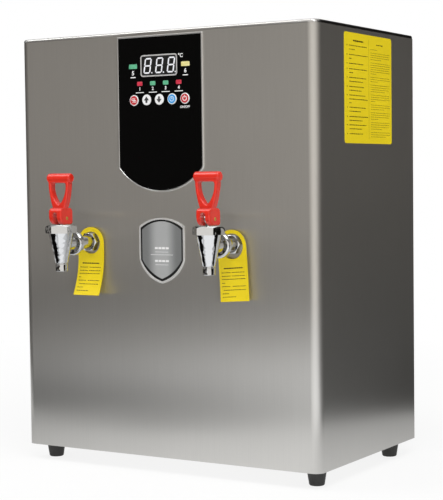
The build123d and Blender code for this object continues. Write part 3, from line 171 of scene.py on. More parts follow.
shown = add(tree, "ShaderNodeMix", {
    0: glossy, 6: linear("#ffffff"), 7: strip.outputs[0]}, data_type="RGBA")
far = add(tree, "ShaderNodeVectorMath", {0: place}, operation="LENGTH")
plain = add(tree, "ShaderNodeMapRange", {
    "Value": far.outputs["Value"], "From Min": 0.4, "From Max": 1.5, "To Min": 0.84, "To Max": 1.0})
share = add(tree, "ShaderNodeMath", {0: seen, 1: plain.outputs[0]}, operation="MULTIPLY")
matt = add(tree, "ShaderNodeBsdfDiffuse", {"Color": linear("#f0f0ef")})
bright = add(tree, "ShaderNodeMapRange", {"Value": glossy, "To Min": 1.0, "To Max": 1.06})
glow = add(tree, "ShaderNodeEmission", {"Color": shown.outputs[2], "Strength": bright.outputs[0]})
both = add(tree, "ShaderNodeMixShader", {
    0: share.outputs[0], 1: matt.outputs[0], 2: glow.outputs[0]})
add(tree, "ShaderNodeOutputMaterial", {"Surface": both.outputs[0]})
quad("floor", [(-9, -9, 0), (9, -9, 0), (9, 9, 0), (-9, 9, 0)], floor_finish)


def reflector(name, kind, colour, strength, corners):
    """A card or cloth of one even brightness, which only metal sees."""
    finish = bpy.data.materials.new(kind)
    finish.use_nodes = True
    tree = finish.node_tree
    tree.nodes.clear()
    even = add(tree, "ShaderNodeEmission", {"Color": linear(colour), "Strength": strength})
    add(tree, "ShaderNodeOutputMaterial", {"Surface": even.outputs[0]})
    flat = quad(name, corners, finish)
    flat.visible_camera = flat.visible_diffuse = flat.visible_shadow = False
    flat.visible_transmission = flat.visible_volume_scatter = False


# What lies on the floor for the metal to mirror: a black cloth on the left with a grey card on its
# edge, a dark cloth behind on the right, and a bright board ahead. Corners are metres to the right
# and metres towards the camera.
ahead, above_floor = Vector((right.y, -right.x, 0)), Vector((0, 0, 0.002))
for name, kind, colour, strength, corners in (
    ("flag_left", "black velvet", "#0b0b0b", 1.0,
     ((-0.59, 0.06), (-0.59, 0.53), (-1.75, 0.53), (-1.75, -0.6))),
    ("card_front", "grey card", "#70706f", 1.0,
     ((-0.59, 0.165), (-0.59, 0.55), (-0.34, 0.55), (-0.28, 0.25))),
    ("flag_right", "dark cloth", "#13120f", 1.0,
     ((0.575, 0.59), (20.0, 29.6), (20.0, -20.0), (0.575, -20.0))),
    ("board", "glossy white board", "#ffffff", 1.3,
     ((-0.5, 0.62), (0.75, 0.62), (0.9, 2.4), (-0.65, 2.4))),
):
    places = [right * u + ahead * v + above_floor for u, v in corners]
    reflector(name, kind, colour, strength, places)

# The card: a white one that stands behind the camera, from ahead of the urn to its right.
reflector("card", "white card", "#fffaf3", 1.08, [
    (2.48, -0.93, 0), (0.09, -2.65, 0), (0.09, -2.65, 0.98), (2.48, -0.93, 0.98)])

# The lamps: a large softbox in front on the right and a smaller one on the left, above the urn.
for name, power, width, height, place in (
    ("softbox_right", 36, 1.4, 1.4, (1.15, -1.15, 2.5)),
    ("softbox_left", 18, 1.0, 1.4, (-1.3, -0.95, 2.4)),
):
    lamp = bpy.data.lights.new(name, "AREA")
    lamp.shape, lamp.size, lamp.size_y, lamp.energy = "RECTANGLE", width, height, power
    light = bpy.data.objects.new(name, lamp)
    aim = (Vector((0, 0, 0.3)) - Vector(place)).to_track_quat("-Z", "Y")
    light.matrix_world = Matrix.Translation(place) @ aim.to_matrix().to_4x4()
    bpy.context.scene.collection.objects.link(light)


# ------------------------------------------------------------------ casing
# Wrap, top cover, back panel and base pan: 1 mm austenitic stainless sheet with a belt-ground
# grain that runs upright, bent and screwed together behind.
def surface(name, colour, **values):
    """A new material with these values on its shader, and the place that its patterns go by."""
    material = bpy.data.materials.new(name)
    material.use_nodes = True
    tree = material.node_tree
    shader = tree.nodes["Principled BSDF"]
    shader.inputs["Base Color"].default_value = linear(colour)
    for socket, value in values.items():
        shader.inputs[socket.replace("_", " ")].default_value = value
    return material, tree, shader, add(tree, "ShaderNodeTexCoord").outputs["Object"]


def dress(material, *names):
    """Gives CAD nodes this material."""
    for name in names:
        for slot in nodes[name].material_slots:
            slot.material = material


# Ground stainless steel: the grain is 0.1 mm wide, drawn 0.6 mm wide so that it shows. It blurs
# what the sheet mirrors far more across the grain than along it. The cover's grain runs backwards.
# Here and below, a pattern's scale is how many of its cells fit in a metre, with their size beside.
wide, long = 1600, 12  # 0.6 mm wide and 80 mm long
for name, rows, axis, fineness in (
    ("ground stainless steel", ("cabinet_wrap", "back_panel", "base_pan"), "Z", (wide, wide, long)),
    ("ground stainless steel cover", ("top_cover",), "Y", (wide, long, wide)),
):
    ground_steel, tree, shader, place = surface(
        name, "#cfcecb", Metallic=1.0, Roughness=0.31, Anisotropic=1.0)
    along = add(tree, "ShaderNodeMapping", {"Vector": place, "Scale": fineness})
    grain = add(tree, "ShaderNodeTexNoise", {
        "Vector": along.outputs[0], "Scale": 1.0, "Detail": 3.0, "Roughness": 0.6})
    cloud = add(tree, "ShaderNodeTexNoise", {
        "Vector": place, "Scale": 7.0, "Detail": 2.0})  # 143 mm
    mixed = add(tree, "ShaderNodeMix", {0: 0.4, 2: grain.outputs[0], 3: cloud.outputs[0]})
    tone = add(tree, "ShaderNodeMix", {
        0: mixed.outputs[0], 6: linear("#c6c5c2"), 7: linear("#d8d7d4")}, data_type="RGBA")
    tree.links.new(tone.outputs[2], shader.inputs["Base Color"])
    rough = add(tree, "ShaderNodeMapRange", {
        "Value": grain.outputs[0], "To Min": 0.28, "To Max": 0.34})
    tree.links.new(rough.outputs[0], shader.inputs["Roughness"])
    relief = add(tree, "ShaderNodeBump", {
        "Height": grain.outputs[0], "Strength": 0.05, "Distance": 0.00005})
    tree.links.new(relief.outputs[0], shader.inputs["Normal"])
    turn = add(tree, "ShaderNodeTangent", direction_type="RADIAL", axis=axis)
    tree.links.new(turn.outputs[0], shader.inputs["Tangent"])
    dress(ground_steel, *rows)

# Tank shelf: galvanised sheet, dull with faint spangle.
galvanised, tree, shader, place = surface(
    "galvanised steel", "#a3a6a8", Metallic=1.0, Roughness=0.42)
spangle = add(tree, "ShaderNodeTexVoronoi", {"Vector": place, "Scale": 120.0})  # 8.3 mm
tone = add(tree, "ShaderNodeMix", {
    0: spangle.outputs["Distance"], 6: linear("#979a9c"), 7: linear("#b4b7b9")}, data_type="RGBA")
tree.links.new(tone.outputs[2], shader.inputs["Base Color"])
dress(galvanised, "tank_shelf")

# Feet: black moulded rubber, dull, a little dusty where it was gripped.
foot_rubber, tree, shader, place = surface("moulded black rubber", "#2a2a2a", Roughness=0.62)
dust = add(tree, "ShaderNodeTexNoise", {"Vector": place, "Scale": 90.0, "Detail": 4.0})  # 11 mm
tone = add(tree, "ShaderNodeMix", {
    0: dust.outputs[0], 6: linear("#2a2a2a"), 7: linear("#3e3e3d")}, data_type="RGBA")
tree.links.new(tone.outputs[2], shader.inputs["Base Color"])
relief = add(tree, "ShaderNodeBump", {
    "Height": dust.outputs[0], "Strength": 0.2, "Distance": 0.0003})
tree.links.new(relief.outputs[0], shader.inputs["Normal"])
dress(foot_rubber, "feet")

# Case screws: zinc-plated, bright with a slight haze.
zinc, tree, shader, place = surface("zinc-plated steel", "#c2c4c6", Metallic=1.0, Roughness=0.25)
haze = add(tree, "ShaderNodeTexNoise", {"Vector": place, "Scale": 900.0, "Detail": 2.0})  # 1.1 mm
rough = add(tree, "ShaderNodeMapRange", {"Value": haze.outputs[0], "To Min": 0.18, "To Max": 0.34})
tree.links.new(rough.outputs[0], shader.inputs["Roughness"])
dress(zinc, "case_screws", "board_spacers")

# ------------------------------------------------------------------ control panel
# The panel: an anodised aluminium frame bonded round one screen-printed sheet of hard-coated
# acrylic, with openings for a display, six moulded lamp lenses and five moulded keys behind it.
anodised, tree, shader, place = surface(
    "anodised aluminium", "#dededc", Metallic=0.95, Roughness=0.3)
satin = add(tree, "ShaderNodeTexNoise", {"Vector": place, "Scale": 1500.0, "Detail": 2.0})  # 0.7 mm
rough = add(tree, "ShaderNodeMapRange", {"Value": satin.outputs[0], "To Min": 0.24, "To Max": 0.38})
tree.links.new(rough.outputs[0], shader.inputs["Roughness"])
dress(anodised, "panel_trim")

acrylic, tree, shader, place = surface(
    "black acrylic", "#040404", Roughness=0.14, Specular_IOR_Level=0.1)
film = add(tree, "ShaderNodeTexNoise", {"Vector": place, "Scale": 35.0, "Detail": 3.0})  # 29 mm
rough = add(tree, "ShaderNodeMapRange", {"Value": film.outputs[0], "To Min": 0.1, "To Max": 0.2})
tree.links.new(rough.outputs[0], shader.inputs["Roughness"])
dress(acrylic, "panel_overlay")

# Display: a white moulded frame round a black block, with milky light bars.
frame_plastic, tree, shader, place = surface("white ABS", "#b6b4b3", Roughness=0.3)
skin = add(tree, "ShaderNodeTexNoise", {"Vector": place, "Scale": 1200.0, "Detail": 2.0})  # 0.8 mm
relief = add(tree, "ShaderNodeBump", {
    "Height": skin.outputs[0], "Strength": 0.1, "Distance": 0.0001})
tree.links.new(relief.outputs[0], shader.inputs["Normal"])
dress(frame_plastic, "display_bezel")

module_epoxy, tree, shader, place = surface("black filled epoxy", "#161616", Roughness=0.28)
skin = add(tree, "ShaderNodeTexNoise", {"Vector": place, "Scale": 1200.0, "Detail": 2.0})  # 0.8 mm
relief = add(tree, "ShaderNodeBump", {
    "Height": skin.outputs[0], "Strength": 0.15, "Distance": 0.0001})
tree.links.new(relief.outputs[0], shader.inputs["Normal"])
dress(module_epoxy, "display_module")

milky, tree, shader, place = surface(
    "milky epoxy light bars", "#dfe0e4", Roughness=0.3, Emission_Strength=0.15)
shader.inputs["Emission Color"].default_value = linear("#e8eaf0")
glow = add(tree, "ShaderNodeTexNoise", {"Vector": place, "Scale": 260.0})  # 3.8 mm
tone = add(tree, "ShaderNodeMix", {
    0: glow.outputs[0], 6: linear("#d2d3d8"), 7: linear("#ececf0")}, data_type="RGBA")
tree.links.new(tone.outputs[2], shader.inputs["Base Color"])
dress(milky, "display_segments")

# Lamp lenses: tinted acrylic, glowing faintly, its tint paler in random patches.
for name, node_name, dark, light in (
    ("green tinted acrylic", "lamps_green", "#2f8d66", "#74c49a"),
    ("red tinted acrylic", "lamps_red", "#ac1230", "#dd4256"),
    ("yellow tinted acrylic", "lamp_yellow", "#cbbf68", "#ece4ac"),
):
    lens_plastic, tree, shader, place = surface(name, dark, Roughness=0.22, Emission_Strength=0.08)
    shader.inputs["Emission Color"].default_value = linear(light)
    ribs = add(tree, "ShaderNodeTexNoise", {
        "Vector": place, "Scale": 240.0, "Detail": 1.0})  # 4.2 mm
    tone = add(tree, "ShaderNodeMix", {
        0: ribs.outputs[0], 6: linear(dark), 7: linear(light)}, data_type="RGBA")
    tree.links.new(tone.outputs[2], shader.inputs["Base Color"])
    dress(lens_plastic, node_name)

# Keys: white moulded caps. The printing on a key's face rides with it: a sign, and on three keys a
# coloured disc under it.
key_plastic, tree, shader, place = surface("white key cap ABS", "#efefef", Roughness=0.32)
skin = add(tree, "ShaderNodeTexNoise", {"Vector": place, "Scale": 1200.0, "Detail": 2.0})  # 0.8 mm
relief = add(tree, "ShaderNodeBump", {
    "Height": skin.outputs[0], "Strength": 0.1, "Distance": 0.0001})
tree.links.new(relief.outputs[0], shader.inputs["Normal"])
dress(key_plastic, "key_heat", "key_up", "key_down", "key_set", "key_power")


def printed(name, colour):
    """Screen-printing ink: a flat colour, slightly uneven from the mesh it was pushed through."""
    ink, tree, shader, place = surface(name, colour, Roughness=0.4)
    mesh_marks = add(tree, "ShaderNodeTexNoise", {
        "Vector": place, "Scale": 800.0, "Detail": 2.0})  # 1.3 mm
    rough = add(tree, "ShaderNodeMapRange", {
        "Value": mesh_marks.outputs[0], "To Min": 0.33, "To Max": 0.5})
    tree.links.new(rough.outputs[0], shader.inputs["Roughness"])
    return ink


def flat_shape(mesh, outline, depth, hole=None):
    """Adds a flat shape facing the user: outline (x, z) at y = depth, or a band from it to hole."""
    outer = [mesh.verts.new((x, depth, z)) for x, z in outline]
    if hole is None:
        mesh.faces.new(outer)
        return
    inner = [mesh.verts.new((x, depth, z)) for x, z in hole]
    count = len(outer)
    for i in range(count):
        mesh.faces.new((outer[i], outer[(i + 1) % count], inner[(i + 1) % count], inner[i]))


def ring_points(x, z, radius, start=0.0, end=360.0, count=40):
    """Points on a circle in the panel's plane, between two angles in degrees."""
    step = (end - start) / (count if end - start >= 360 else count - 1)
    return [
        (x + radius * cos(radians(start + step * i)), z + radius * sin(radians(start + step * i)))
        for i in range(count)
    ]


def settle(mesh, name, material, body):
    """Closes a mesh into an object that rides on a body, its faces towards the user."""
    bmesh.ops.recalc_face_normals(mesh, faces=mesh.faces)
    for face in mesh.faces:
        if face.normal.y > 0:
            face.normal_flip()
    data = bpy.data.meshes.new(name)
    mesh.to_mesh(data)
    mesh.free()
    data.materials.append(material)
    piece = bpy.data.objects.new(name, data)
    bpy.context.scene.collection.objects.link(piece)
    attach(piece, body)
    return piece


def arc_band(mesh, x, z, radius, thick, start, end, depth):
    """A curved stroke of even width."""
    outer = ring_points(x, z, radius + thick / 2, start, end, 24)
    inner = ring_points(x, z, radius - thick / 2, start, end, 24)
    flat_shape(mesh, outer + inner[::-1], depth)


def bar(mesh, x, z, width, height, depth):
    """An upright or level printed bar."""
    flat_shape(mesh, [
        (x - width / 2, z - height / 2), (x + width / 2, z - height / 2),
        (x + width / 2, z + height / 2), (x - width / 2, z + height / 2)], depth)


ink_thickness, key_radius, disc_radius = 0.00006, 0.0083, 0.0057
white_ink, dark_ink = printed("white ink", "#ececec"), printed("dark ink", "#3a3a3c")
for name, slot, colour in (
    ("heat", "key_red", "#c40d1b"), ("up", None, None), ("down", None, None),
    ("set", "key_blue", "#2d9de4"), ("power", "key_red", "#c40d1b"),
):
    low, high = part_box(f"key_{name}")
    x, z, face = (low.x + high.x) / 2, high.z - key_radius, low.y
    if colour:
        disc = bmesh.new()
        flat_shape(disc, ring_points(x, z, disc_radius), face - ink_thickness)
        ink = printed(f"{name} key ink", colour)
        disc = settle(disc, f"key_{name}_colour", ink, f"key_{name}")
    sign = bmesh.new()
    depth = face - 2 * ink_thickness
    if name == "heat":  # three waves, each of two half turns
        bend, stroke, pitch = 0.0013, 0.0008, 0.0021
        for shift in (-pitch, 0, pitch):
            for rise, start in ((-bend, -90), (bend, 90)):
                arc_band(sign, x + shift, z + rise, bend, stroke, start, start + 180, depth)
    elif name in ("up", "down"):  # an arrow, its shaft a hair in front of its head
        way = 1 if name == "up" else -1
        barbs, point, shaft = (z + way * rise for rise in (-0.0006, 0.0044, -0.0022))
        half_head, width, length, hair = 0.0038, 0.0028, 0.0032, 0.00001
        flat_shape(sign, [(x - half_head, barbs), (x + half_head, barbs), (x, point)], depth)
        bar(sign, x, shaft, width, length, depth - hair)
    elif name == "set":  # a clock with two hands
        rim, stroke = 0.0032, 0.0006
        flat_shape(sign, ring_points(x, z, rim), depth, ring_points(x, z, rim - 0.0007))
        bar(sign, x, z + 0.0009, stroke, 0.0022, depth)
        bar(sign, x + 0.0007, z - 0.0001, 0.0018, stroke, depth)
    else:  # an open ring with an upright bar in the gap
        rim, stroke = 0.0028, 0.0011
        arc_band(sign, x, z, rim, stroke, 115, 425, depth)
        bar(sign, x, z + 0.0026, 0.0010, 0.0030, depth)
    ink = white_ink if colour else dark_ink
    settle(sign, f"key_{name}_sign", ink, f"key_{name}")

# Printing on the overlay: plain numbers under the lamps with a short rule below each, a degree sign
# and the switch's words, all 0.08 mm in front of it.
overlay_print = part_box("panel_overlay")[0].y - 0.00008
small_lamps, large_lamps = (-0.0298, -0.0098, 0.0099, 0.0297), (-0.0400, 0.0398)


def words(mesh, text, size, x, z, depth):
    """Adds text, centred on (x, z), as flat shapes facing the user."""
    curve = bpy.data.curves.new("words", "FONT")
    curve.body, curve.size, curve.align_x, curve.align_y = text, size, "CENTER", "CENTER"
    curve.resolution_u, curve.offset = 3, size * 0.03
    holder = bpy.data.objects.new("words", curve)
    flat = bpy.data.meshes.new_from_object(holder)
    flat.transform(Matrix.Translation((x, depth, z)) @ Matrix.Rotation(pi / 2, 4, "X"))
    mesh.from_mesh(flat)
    bpy.data.objects.remove(holder)
    bpy.data.curves.remove(curve)
    bpy.data.meshes.remove(flat)


marks = bmesh.new()
for text, size, x, z in (
    ("°C", 0.0068, 0.0328, 0.5348), ("ON/OFF", 0.0040, 0.0388, 0.4702),
    *((str(number), 0.0058, x, 0.4950) for number, x in enumerate(small_lamps, 1)),
    *((str(number), 0.0074, x, 0.5155) for number, x in enumerate(large_lamps, 5)),
):
    words(marks, text, size, x, z, overlay_print)
settle(marks, "panel_marks", white_ink, "cabinet")

# Ruled dashes: screen printing that stands where small print goes. One tree puts a bar on each
# point, sized by the point's length and height, and drops its corners onto what carries it.
ruling = bpy.data.node_groups.new("ruled dashes", "GeometryNodeTree")
for label, kind in (
    ("Points", "Geometry"), ("Carrier", "Object"), ("Turn", "Vector"), ("Aim", "Vector"),
    ("Ink Thickness", "Float"), ("Ink", "Material"),
):
    ruling.interface.new_socket(label, in_out="INPUT", socket_type=f"NodeSocket{kind}")
ruling.interface.new_socket("Bars", in_out="OUTPUT", socket_type="NodeSocketGeometry")
given = add(ruling, "NodeGroupInput").outputs
length = add(ruling, "GeometryNodeInputNamedAttribute", {"Name": "length"}, data_type="FLOAT")
height = add(ruling, "GeometryNodeInputNamedAttribute", {"Name": "height"}, data_type="FLOAT")
size = add(ruling, "ShaderNodeCombineXYZ", {
    "X": length.outputs["Attribute"], "Y": height.outputs["Attribute"], "Z": 1.0})
unit = add(ruling, "GeometryNodeMeshGrid", {
    "Size X": 1.0, "Size Y": 1.0, "Vertices X": 2, "Vertices Y": 2})
facing = add(ruling, "FunctionNodeEulerToRotation", {"Euler": given["Turn"]})
bars = add(ruling, "GeometryNodeInstanceOnPoints", {
    "Points": given["Points"], "Instance": unit.outputs["Mesh"], "Rotation": facing.outputs[0],
    "Scale": size.outputs[0]})
bars = add(ruling, "GeometryNodeRealizeInstances", {"Geometry": bars.outputs[0]})
carrier = add(ruling, "GeometryNodeObjectInfo", {
    "Object": given["Carrier"]}, transform_space="RELATIVE")
start = add(ruling, "GeometryNodeInputPosition")
ray = add(ruling, "GeometryNodeRaycast", {
    "Target Geometry": carrier.outputs["Geometry"], "Source Position": start.outputs[0],
    "Ray Direction": given["Aim"], "Ray Length": 0.2})
lift = add(ruling, "ShaderNodeVectorMath", {
    0: ray.outputs["Hit Normal"], "Scale": given["Ink Thickness"]}, operation="SCALE")
landed = add(ruling, "ShaderNodeVectorMath", {0: ray.outputs["Hit Position"], 1: lift.outputs[0]})
bars = add(ruling, "GeometryNodeSetPosition", {
    "Geometry": bars.outputs[0], "Selection": ray.outputs["Is Hit"], "Position": landed.outputs[0]})
bars = add(ruling, "GeometryNodeSetMaterial", {
    "Geometry": bars.outputs[0], "Material": given["Ink"]})
add(ruling, "NodeGroupOutput", {"Bars": bars.outputs[0]})


def rule(name, dashes, carrier, turn, aim, ink, body):
    """Prints dashes, each a place, a length and a height, on a carrier, to ride on a body."""
    points = bpy.data.meshes.new(name)
    points.from_pydata([place for place, _, _ in dashes], [], [])
    for label, column in (("length", 1), ("height", 2)):
        values = points.attributes.new(label, "FLOAT", "POINT").data
        values.foreach_set("value", [dash[column] for dash in dashes])
    piece = bpy.data.objects.new(name, points)
    bpy.context.scene.collection.objects.link(piece)
    press = piece.modifiers.new("press", "NODES")
    press.node_group = ruling
    for label, value in (
        ("Carrier", carrier), ("Turn", turn), ("Aim", aim), ("Ink Thickness", ink_thickness),
        ("Ink", ink),
    ):
        press[ruling.interface.items_tree[label].identifier] = value
    pressed = piece.evaluated_get(bpy.context.evaluated_depsgraph_get())
    printing = bpy.data.meshes.new_from_object(pressed)
    piece.modifiers.clear()
    piece.data = printing
    bpy.data.meshes.remove(points)
    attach(piece, body)


clear = -0.13  # dashes drop backwards onto their carrier from this y
under_lamps = [
    (Vector((x, clear, z)), length, height)
    for lamps, z, length, height in (
        (small_lamps, 0.4905, 0.0125, 0.0010), (large_lamps, 0.5102, 0.0080, 0.0012))
    for x in lamps]
rule("panel_rules", under_lamps, nodes["panel_overlay"], (pi / 2, 0, 0), (0, 1, 0),
     white_ink, "cabinet")

# Control board: green glass-epoxy with its parts, behind the front sheet.
board, tree, shader, place = surface("glass-epoxy board", "#1f5a33", Roughness=0.45)
tracks = add(tree, "ShaderNodeTexBrick", {  # 3.1 by 1.6 mm
    "Vector": place, "Scale": 160.0, "Color1": linear("#1d5530"), "Color2": linear("#246a3c"),
    "Mortar": linear("#184627")})
tree.links.new(tracks.outputs[0], shader.inputs["Base Color"])
dress(board, "control_board")

# ------------------------------------------------------------------ shield
# Shield plate: a pressed aluminium badge blank, bonded on. A bright lacquered rim, a black printed
# line inside it, and a field in metallic ink, paler towards the middle by a painted highlight.
badge, tree, shader, place = surface("lacquered aluminium", "#f0f0ee", Metallic=0.6, Roughness=0.3)
satin = add(tree, "ShaderNodeTexNoise", {"Vector": place, "Scale": 900.0, "Detail": 3.0})  # 1.1 mm
rough = add(tree, "ShaderNodeMapRange", {"Value": satin.outputs[0], "To Min": 0.25, "To Max": 0.4})
tree.links.new(rough.outputs[0], shader.inputs["Roughness"])
dress(badge, "shield_plate")


def shield_points(inset):
    """The shield's outline, drawn in by inset: crowned top, straight sides, two arcs to the tip."""
    plate_low, plate_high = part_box("shield_plate")
    half, crown, shoulder, low = plate_high.x - inset, 0.3302 - inset, 0.3194 - inset, 0.2764
    tip_z = plate_low.z + inset * 1.35  # a pointed end draws in faster than a side

    def through(a, b, c, count=16):
        """Points on the circle through three points, from a to c without c."""
        (ax, az), (bx, bz), (cx, cz) = a, b, c
        aa, bb, cc = ax**2 + az**2, bx**2 + bz**2, cx**2 + cz**2
        area = 2 * (ax * (bz - cz) + bx * (cz - az) + cx * (az - bz))
        centre = Vector((
            (aa * (bz - cz) + bb * (cz - az) + cc * (az - bz)) / area,
            (aa * (cx - bx) + bb * (ax - cx) + cc * (bx - ax)) / area))
        first, last = Vector(a) - centre, Vector(c) - centre
        spread = first.angle_signed(last)
        return [
            tuple(Matrix.Rotation(-spread * i / count, 2) @ first + centre) for i in range(count)]

    bulge = (half * 0.68, tip_z + 0.0124)
    points = through((-half, shoulder), (0, crown), (half, shoulder))
    points += [(half, shoulder)]
    points += through((half, low), bulge, (0, tip_z))
    points += through((0, tip_z), (-bulge[0], bulge[1]), (-half, low))
    points += [(-half, low)]
    return points


shield_print, line_inset, field_inset = -0.10868, 0.0021, 0.0044
border = bmesh.new()
flat_shape(border, shield_points(line_inset), shield_print, shield_points(field_inset))
settle(border, "shield_border", printed("black border ink", "#0e0e0f"), "cabinet")

field_ink, tree, shader, place = surface(
    "grey metallic ink", "#9a9c9c", Metallic=0.3, Roughness=0.4)
flake = add(tree, "ShaderNodeTexNoise", {"Vector": place, "Scale": 1600.0, "Detail": 2.0})  # 0.6 mm
# Painted highlight: the field's colour is made paler towards its middle and darker at its sides.
sides = add(tree, "ShaderNodeSeparateXYZ", {"Vector": place})
sides = add(tree, "ShaderNodeMath", {0: sides.outputs["X"]}, operation="ABSOLUTE")
spray = add(tree, "ShaderNodeMapRange", {
    "Value": sides.outputs[0], "From Min": 0.006, "From Max": 0.024},
    interpolation_type="SMOOTHSTEP")
tone = add(tree, "ShaderNodeMix", {
    0: spray.outputs[0], 6: linear("#bcbebe"), 7: linear("#7a7c7c")}, data_type="RGBA")
speckle = add(tree, "ShaderNodeMapRange", {
    "Value": flake.outputs[0], "To Min": 0.0, "To Max": 0.35})
tone = add(tree, "ShaderNodeMix", {
    0: speckle.outputs[0], 6: tone.outputs[2], 7: linear("#a4a6a6")}, data_type="RGBA")
tree.links.new(tone.outputs[2], shader.inputs["Base Color"])
field = bmesh.new()
flat_shape(field, shield_points(field_inset), shield_print)
shield_field = settle(field, "shield_field", field_ink, "cabinet")

four, one = (-0.00825, -0.00275, 0.00275, 0.00825), (0,)
shield_dashes = [
    (Vector((x, clear, z)), length, height)
    for places, z, length, height in (
        (four, 0.2915, 0.0046, 0.0026), (four, 0.2751, 0.0046, 0.0026),
        (one, 0.2866, 0.020, 0.0006), (one, 0.2830, 0.034, 0.0006), (one, 0.2702, 0.020, 0.0006))
    for x in places]
rule("shield_rules", shield_dashes, shield_field, (pi / 2, 0, 0), (0, 1, 0), white_ink, "cabinet")

# ------------------------------------------------------------------ side sheet
# A yellow vinyl sheet with round corners, stuck on the right side by its own adhesive, and printed
# with two columns of plain ruled lines.
vinyl, tree, shader, place = surface(
    "yellow vinyl", "#ecd306", Roughness=0.4, Specular_IOR_Level=0.3)
pebble = add(tree, "ShaderNodeTexNoise", {"Vector": place, "Scale": 500.0, "Detail": 2.0})  # 2.0 mm
relief = add(tree, "ShaderNodeBump", {
    "Height": pebble.outputs[0], "Strength": 0.06, "Distance": 0.0001})
tree.links.new(relief.outputs[0], shader.inputs["Normal"])
uneven = add(tree, "ShaderNodeTexNoise", {"Vector": place, "Scale": 14.0})  # 71 mm
tone = add(tree, "ShaderNodeMix", {
    0: uneven.outputs[0], 6: linear("#e8cf05"), 7: linear("#f4da0b")}, data_type="RGBA")
tree.links.new(tone.outputs[2], shader.inputs["Base Color"])

side_x, vinyl_thickness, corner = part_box("cabinet_wrap")[1].x, 0.00015, 0.004
sheet_front, sheet_back, sheet_foot, sheet_top = -0.0356, 0.1023, 0.4216, 0.5591
edge = []
for y, z, start in (
    (sheet_back - corner, sheet_top - corner, 0),
    (sheet_front + corner, sheet_top - corner, 90),
    (sheet_front + corner, sheet_foot + corner, 180),
    (sheet_back - corner, sheet_foot + corner, 270),
):
    edge += ring_points(y, z, corner, start, start + 90, 7)
label = bmesh.new()
outer = [label.verts.new((side_x + vinyl_thickness, y, z)) for y, z in edge]
inner = [label.verts.new((side_x, y, z)) for y, z in edge]
label.faces.new(outer)
label.faces.new(inner[::-1])
for i in range(len(edge)):
    j = (i + 1) % len(edge)
    label.faces.new((inner[i], inner[j], outer[j], outer[i]))
bmesh.ops.recalc_face_normals(label, faces=label.faces)
data = bpy.data.meshes.new("side_sheet")
label.to_mesh(data)
label.free()
data.materials.append(vinyl)
side_sheet = bpy.data.objects.new("side_sheet", data)
bpy.context.scene.collection.objects.link(side_sheet)
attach(side_sheet, "cabinet")

# Ruled dashes on the sheet, by millimetres from its front edge and down from its top: a mark and
# one to three lines for each of eleven paragraphs, a thin divider, and a column of finer lines. A
# paragraph is how far down it starts, then where each of its lines ends.
spacing = Random(7)


def dashed(start, end, mean, gap):
    """Breaks a line into dashes about as long as mean: the middle and length of each."""
    broken = []
    while end - start > 0.4 * mean:
        length = min(mean * spacing.uniform(0.6, 1.5), end - start)
        broken.append((start + length / 2, length))
        start += length + gap
    return broken


paragraphs = (
    (16.1, 66, 30), (27.5, 66, 20), (38.4, 55), (45.1, 64, 24), (55.8, 62, 52), (67.0, 56, 48),
    (77.7, 60, 66, 19), (92.9, 60, 45), (104.3, 66, 50), (114.7, 63, 50), (125.7, 52))
printing = [
    (place, below, length, tall)
    for start, end, below, tall in ((25, 54, 9.8, 1.9), (92, 113, 11.0, 1.2))
    for place, length in dashed(start, end, mean=5, gap=0.8)]
mark, mark_width, mark_height, text, pitch, tall = 8.0, 1.6, 1.5, 14, 4.8, 1.1
for first, *ends in paragraphs:
    printing.append((mark, first, mark_width, mark_height))
    for line, end in enumerate(ends):
        printing += [
            (place, first + pitch * line, length, tall)
            for place, length in dashed(text, end, mean=2.6, gap=1.0)]
text, margin, foot, pitch, paragraph_pitch, tall = 75, 132, 131, 2.75, 4.4, 0.42
down, run = 17.5, 0
while down < foot:
    end = margin if run else spacing.uniform(90, 125)
    printing += [
        (place, down, length, tall) for place, length in dashed(text, end, mean=4.5, gap=0.9)]
    down += pitch if run else paragraph_pitch
    run = (run or spacing.randint(3, 6)) - 1
divider = (69.5, 69.0, 0.35, 126.0)
printing.append(divider)
beside = side_x + 0.02  # dashes drop onto the sheet from this x
sheet_dashes = [
    (Vector((beside, sheet_front + across / 1000, sheet_top - below / 1000)),
     width / 1000, tall / 1000)
    for across, below, width, tall in printing]
olive_ink = printed("black ink on yellow", "#3b3410")
rule("side_sheet_rules", sheet_dashes, side_sheet, (pi / 2, 0, pi / 2), (-1, 0, 0),
     olive_ink, "cabinet")

# ------------------------------------------------------------------ taps
# Two lever taps, held in the front by their shanks. Body, bonnet nut and wall nut are brass under
# bright decorative chrome. A spring presses the stem's silicone cup onto the seat until the lever,
# moulded in red, lifts it.
chrome, tree, shader, place = surface(
    "bright chrome plate", "#c9cbcd", Metallic=1.0, Roughness=0.06)
wave = add(tree, "ShaderNodeTexNoise", {"Vector": place, "Scale": 110.0, "Detail": 1.0})  # 9.1 mm
relief = add(tree, "ShaderNodeBump", {
    "Height": wave.outputs[0], "Strength": 0.4, "Distance": 0.0012})
tree.links.new(relief.outputs[0], shader.inputs["Normal"])
smear = add(tree, "ShaderNodeTexNoise", {"Vector": place, "Scale": 60.0, "Detail": 3.0})  # 17 mm
rough = add(tree, "ShaderNodeMapRange", {"Value": smear.outputs[0], "To Min": 0.03, "To Max": 0.10})
tree.links.new(rough.outputs[0], shader.inputs["Roughness"])

stem_steel, tree, shader, place = surface(
    "turned stainless steel", "#b9b9b7", Metallic=1.0, Roughness=0.22)
cuts = add(tree, "ShaderNodeMapping", {"Vector": place, "Scale": (60, 60, 3000)})  # 0.3 mm
lathe = add(tree, "ShaderNodeTexNoise", {"Vector": cuts.outputs[0], "Scale": 1.0})
relief = add(tree, "ShaderNodeBump", {
    "Height": lathe.outputs[0], "Strength": 0.15, "Distance": 0.0001})
tree.links.new(relief.outputs[0], shader.inputs["Normal"])

